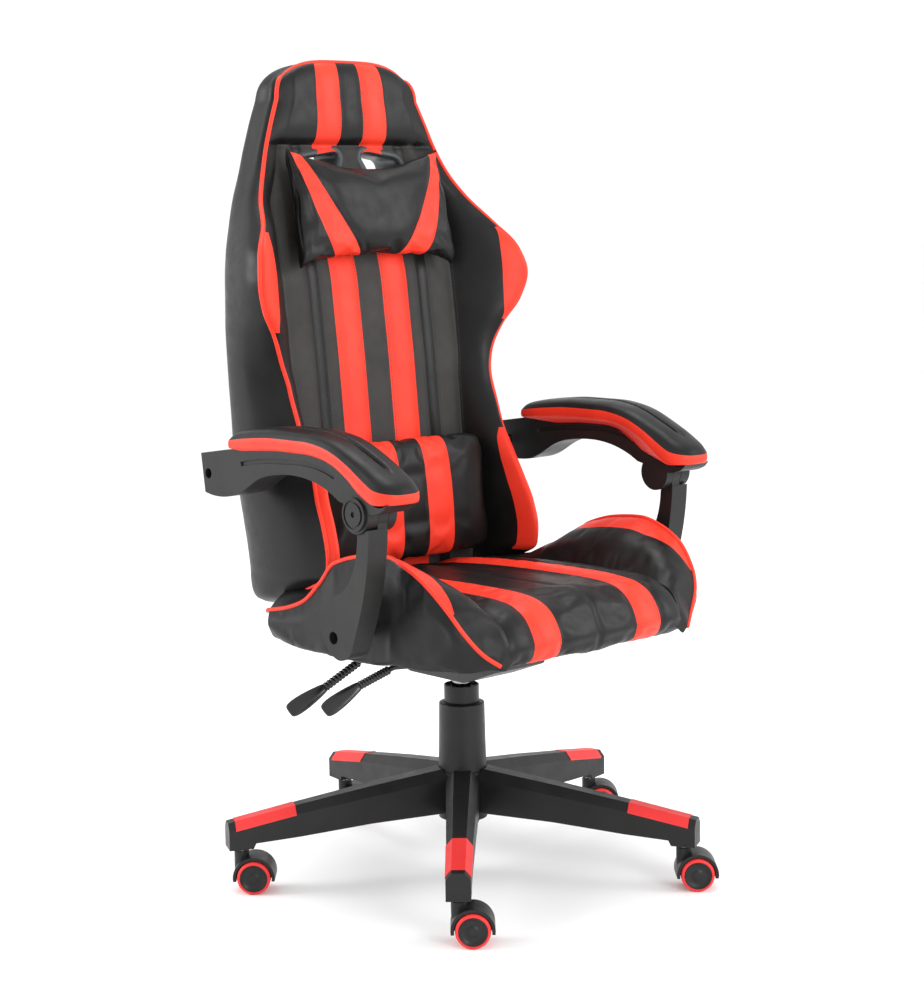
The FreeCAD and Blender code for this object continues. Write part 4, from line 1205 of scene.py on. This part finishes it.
def head_seams(angle):
    """Stripes that curve outwards from the pillow's lower edge to its top corners."""
    height = 0.5 + 0.5 * squared(math.sin(angle), 0.66)
    return (0.25 + 0.60 * height ** 0.9, 0.56 + 0.39 * height ** 0.7)


def build_pillows():
    pillow("lumbar_cover", "lumbar_cushion", "lumbar_pillow", (0, 127, 559), 6, lumbar_shape, 30, 56,
           lumbar_seams)
    pillow("head_cover", "head_cushion", "head_pillow", (0, 192, 1005), 11, head_shape, 34, 56, head_seams)


# ---------------------------------------------------------------------------------------------------
# Armrest pads
# ---------------------------------------------------------------------------------------------------
pad_at = smooth_table([(-row[0], *row[1:]) for row in PAD_ROWS])
PAD_MIDDLE = 293
PAD_HALF = 38
PAD_REAR = 140
PAD_FRONT = -221
PAD_TIP = 40
PAD_HEEL = 18


def pad_ring(share, count=30):
    """Ring round the pad's plan outline, drawn in towards its long middle line by share."""
    inset = PAD_HALF * share
    half = PAD_HALF - inset
    front = PAD_FRONT + inset
    rear = PAD_REAR - inset
    tip = PAD_TIP * (1 - share * 0.5)
    heel = PAD_HEEL * (1 - share * 0.5)
    quarter = [(half * squared(math.cos(angle), 0.8), squared(math.sin(angle), 0.8))
               for angle in np.linspace(0, math.pi / 2, count // 2)]
    side = [(x, rear - heel + heel * y) for x, y in reversed(quarter)]
    side += [(half, y) for y in np.linspace(rear - heel, front + tip, count + 2)[1:-1]]
    side += [(x, front + tip - tip * y) for x, y in quarter]
    return side[:-1] + [(-x, y) for x, y in reversed(side)][:-1]


def build_arm_pads():
    profile = ((0.12, 0.0, 0), (0.03, 0.05, 0), (0.0, 0.22, 0), (0.0, 0.42, 0), (0.02, 0.56, 0), (0.055, 0.62, 1),
               (0.075, 0.65, 1), (0.13, 0.77, 1), (0.24, 0.89, 1), (0.40, 0.96, 1), (0.62, 0.99, 1),
               (0.84, 1.0, 1), (0.97, 1.0, 1))
    for name, side in SIDES:
        vertices = []
        for share, rise, _ in profile:
            for x, y in pad_ring(share):
                low, high = pad_at(-y)
                vertices.append((side * (PAD_MIDDLE + x) * MM, y * MM, (low + (high - low) * rise) * MM))
        count = len(vertices) // len(profile)
        faces = grid_faces(len(profile), count, True)
        colours = []
        for row in range(len(profile) - 1):
            colours += [0 if profile[row + 1][2] else 1] * count
        faces += [tuple(range(count)), tuple(range(len(vertices) - count, len(vertices)))]
        colours += [1, 0]
        pad = new_object(f"arm_pad_{name}_whole", vertices, faces, (BLACK, RED), colours)
        outward(pad)
        subdivided(pad)
        pieces = split_by_colour(pad, {"black_cover": f"arm_pad_top_{name}", "red_cover": f"arm_pad_band_{name}"})
        fitted(pieces["black_cover"], f"{name}_arm", f"arm_pad_{name}", padded=True)
        fitted(pieces["red_cover"], f"{name}_arm")


# ---------------------------------------------------------------------------------------------------
# Casters and levers
# ---------------------------------------------------------------------------------------------------
def build_wheels():
    """Black discs with a dished face and a red tread ring, on both sides of each caster."""
    for number in range(1, 6):
        low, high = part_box(f"caster_pins_{number}")
        wheel_low, wheel_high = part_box(f"caster_wheels_{number}")
        centre = (wheel_low + wheel_high) / 2
        trail = Matrix.Rotation(math.radians(-42.4), 3, "Z")
        axis = trail @ Vector((0, 1, 0))
        discs = []
        rings = []
        for turn in (-1, 1):
            discs.append(turned("disc", ((4, 5), (19, 5), (20.5, 6), (20.5, 25.4), (19.6, 26.4), (18.6, 26.2),
                                         (17.8, 24.6), (12, 23.6), (7.5, 23.4), (6.8, 24.4), (5.4, 24.6), (0.01, 24.6)),
                                WHEEL, centre / MM, axis * turn))
            rings.append(turned("ring", ((20.4, 5), (23.6, 5.2), (24.8, 6.6), (25, 9), (25, 21), (24.6, 23.6),
                                         (23.4, 25.4), (22, 26.2), (20.9, 26.3), (20.4, 25.6)),
                                RED_NYLON, centre / MM, axis * turn))
        for pieces, name, nodes in ((discs, f"wheel_discs_{number}", (f"caster_wheels_{number}",)),
                                    (rings, f"wheel_rings_{number}", ())):
            whole = joined(name, pieces)
            whole.data.transform(Matrix.Scale(MM, 4))
            fitted(whole, f"wheels_{number}", *nodes)


LEVERS = (
    ("height", (-190, 4, 355), (-250, 19, 320), (-304, 36, 290)),
    ("recline", (-198, -74, 356), (-250, -59, 335), (-302, -42, 303)),
)


def build_lever_grips():
    """Beaded sleeve and flat glossy paddle of each lever."""
    for name, bend, sleeve, tip in LEVERS:
        bend = Vector(bend)
        sleeve = Vector(sleeve)
        tip = Vector(tip)
        axis = (sleeve - bend).normalized()
        length = (sleeve - bend).length - 8
        profile = [(4.1, 0)]
        beads = 11
        for step in range(beads * 8 + 1):
            along = length * step / (beads * 8)
            profile.append((5.1 + 1.5 * abs(math.sin(math.pi * step / 8)) ** 0.7, along))
        profile.append((4.1, length))
        grip = turned("sleeve", profile, LEVER, bend + axis * 8, axis, 24)
        along = (tip - sleeve).normalized()
        across = along.cross(Vector((0, -0.8, 0.6))).normalized()
        up = across.cross(along)
        vertices = []
        rows = []
        for share, half, low, high in ((-0.06, 4, -3, 3), (0, 6.5, -4.5, 4.5), (0.12, 8, -5, 5), (0.3, 10, -5.5, 4.6),
                                       (0.55, 12, -5, 4), (0.8, 12.5, -4.5, 3.4), (0.94, 11, -3.6, 2.6),
                                       (1, 8, -2.4, 1.4)):
            rows.append((share, half, low, high))
            centre = sleeve + (tip - sleeve) * share
            for step in range(20):
                angle = 2 * math.pi * step / 20
                side = squared(math.cos(angle), 0.6) * half
                rise = squared(math.sin(angle), 0.7)
                rise = rise * (high if rise > 0 else -low)
                vertices.append(centre + across * side + up * rise)
        faces = grid_faces(len(rows), 20, True)
        faces += [tuple(range(20)), tuple(range(len(vertices) - 20, len(vertices)))]
        paddle = subdivided(tidy(new_object("paddle", vertices, faces, [LEVER])))
        whole = joined(f"{name}_lever_handle", [grip, paddle])
        whole.data.transform(Matrix.Scale(MM, 4))
        fitted(whole, f"{name}_handle", f"{name}_lever_grip")


# ---------------------------------------------------------------------------------------------------
# CAD finishes
# ---------------------------------------------------------------------------------------------------
EDGE_ROUND = {"star_base": 2.2, "leg_inserts": 0.5, "armrest_right": 1.6, "armrest_left": 1.6,
              "arm_post_right": 2.5, "arm_post_left": 2.5, "elbow_cap_right": 0.8, "elbow_cap_left": 0.8,
              "lower_column_cover": 0.6, "upper_column_cover": 0.6, "mechanism_housing": 1.5}


def finish_cad_nodes():
    """Give every carried-over node its finish, its rounded edges and smooth shading."""
    slots = {part["node"]: part["material_slot"] for part in frame["record"]["subparts"]}
    for name, obj in frame["nodes"].items():
        material = CAD_FINISH.get(slots.get(name), NYLON)
        obj.data.materials.clear()
        obj.data.materials.append(material)
        if obj.hide_render:
            continue
        weld = obj.modifiers.new("weld", "WELD")
        weld.merge_threshold = 0.00002
        bevel = obj.modifiers.new("edges", "BEVEL")
        bevel.width = EDGE_ROUND.get(name, 0.4) * MM
        bevel.segments = 3
        bevel.limit_method = "ANGLE"
        bevel.angle_limit = math.radians(32)
        bevel.use_clamp_overlap = True
        obj.modifiers.new("normals", "WEIGHTED_NORMAL")


# ---------------------------------------------------------------------------------------------------
# Camera, light and floor
# ---------------------------------------------------------------------------------------------------
def build_camera():
    azimuth = math.radians(-42.394)
    pitch = math.radians(7.949)
    roll = math.radians(-0.8)
    distance = 3.163
    place = Vector((math.sin(azimuth) * distance, -math.cos(azimuth) * distance, 1.011))
    ahead = Vector((-math.sin(azimuth) * math.cos(pitch), math.cos(azimuth) * math.cos(pitch), -math.sin(pitch)))
    right = Vector((math.cos(azimuth), math.sin(azimuth), 0))
    up = right.cross(ahead)
    turned_right = right * math.cos(roll) + up * math.sin(roll)
    turned_up = up * math.cos(roll) - right * math.sin(roll)
    data = bpy.data.cameras.new("camera")
    data.lens = 76.58
    data.sensor_width = 36
    data.shift_x = 0.0031
    camera = bpy.data.objects.new("camera", data)
    camera.matrix_world = Matrix.Translation(place) @ Matrix((turned_right, turned_up, -ahead)).transposed().to_4x4()
    bpy.context.scene.collection.objects.link(camera)
    bpy.context.scene.camera = camera


def area_light(name, place, target, size, power):
    data = bpy.data.lights.new(name, "AREA")
    data.shape = "RECTANGLE"
    data.size, data.size_y = size
    data.energy = power
    light = bpy.data.objects.new(name, data)
    direction = Vector(target) - Vector(place)
    light.rotation_euler = direction.to_track_quat("-Z", "Y").to_euler()
    light.location = place
    bpy.context.scene.collection.objects.link(light)


def build_studio():
    reach = 40
    vertices = [(-reach, -reach, 0), (reach, -reach, 0), (reach, reach, 0), (-reach, reach, 0)]
    material, tree, shader, place = start_material("studio_floor", (0.95, 0.95, 0.95), 0.7)
    tint(tree, shader, spread(tree, noise(tree, place, 2, 2), 0, 1), (0.945, 0.945, 0.945), (0.955, 0.955, 0.955))
    floor = new_object("studio_floor", vertices, [(0, 1, 2, 3)], [material])
    world = bpy.data.worlds.new("studio")
    world.use_nodes = True
    world.node_tree.nodes["Background"].inputs["Color"].default_value = (1, 1, 1, 1)
    world.node_tree.nodes["Background"].inputs["Strength"].default_value = 1.06
    bpy.context.scene.world = world
    area_light("front_right", (2.4, -2.9, 2.0), (0, 0, 0.8), (1.6, 2.2), 58)
    area_light("front", (-0.6, -3.5, 1.5), (0, 0, 0.7), (1.0, 1.4), 45)
    area_light("rear_left", (-2.7, 2.4, 1.9), (0, 0, 0.7), (1.6, 2.4), 85)
    area_light("top", (0.2, 0.4, 3.4), (0, 0, 0.6), (1.6, 1.6), 40)
    bpy.context.scene.view_settings.view_transform = "Standard"


def main():
    build_camera()
    build_studio()
    front = build_back_cover()
    shell = build_back_shell()
    build_back_floor(front, shell)
    build_back_piping(front)
    build_belt_rims()
    build_seat_cushion()
    build_bolsters()
    build_seat_underside()
    build_pillows()
    build_arm_pads()
    build_wheels()
    build_lever_grips()
    finish_cad_nodes()


main()
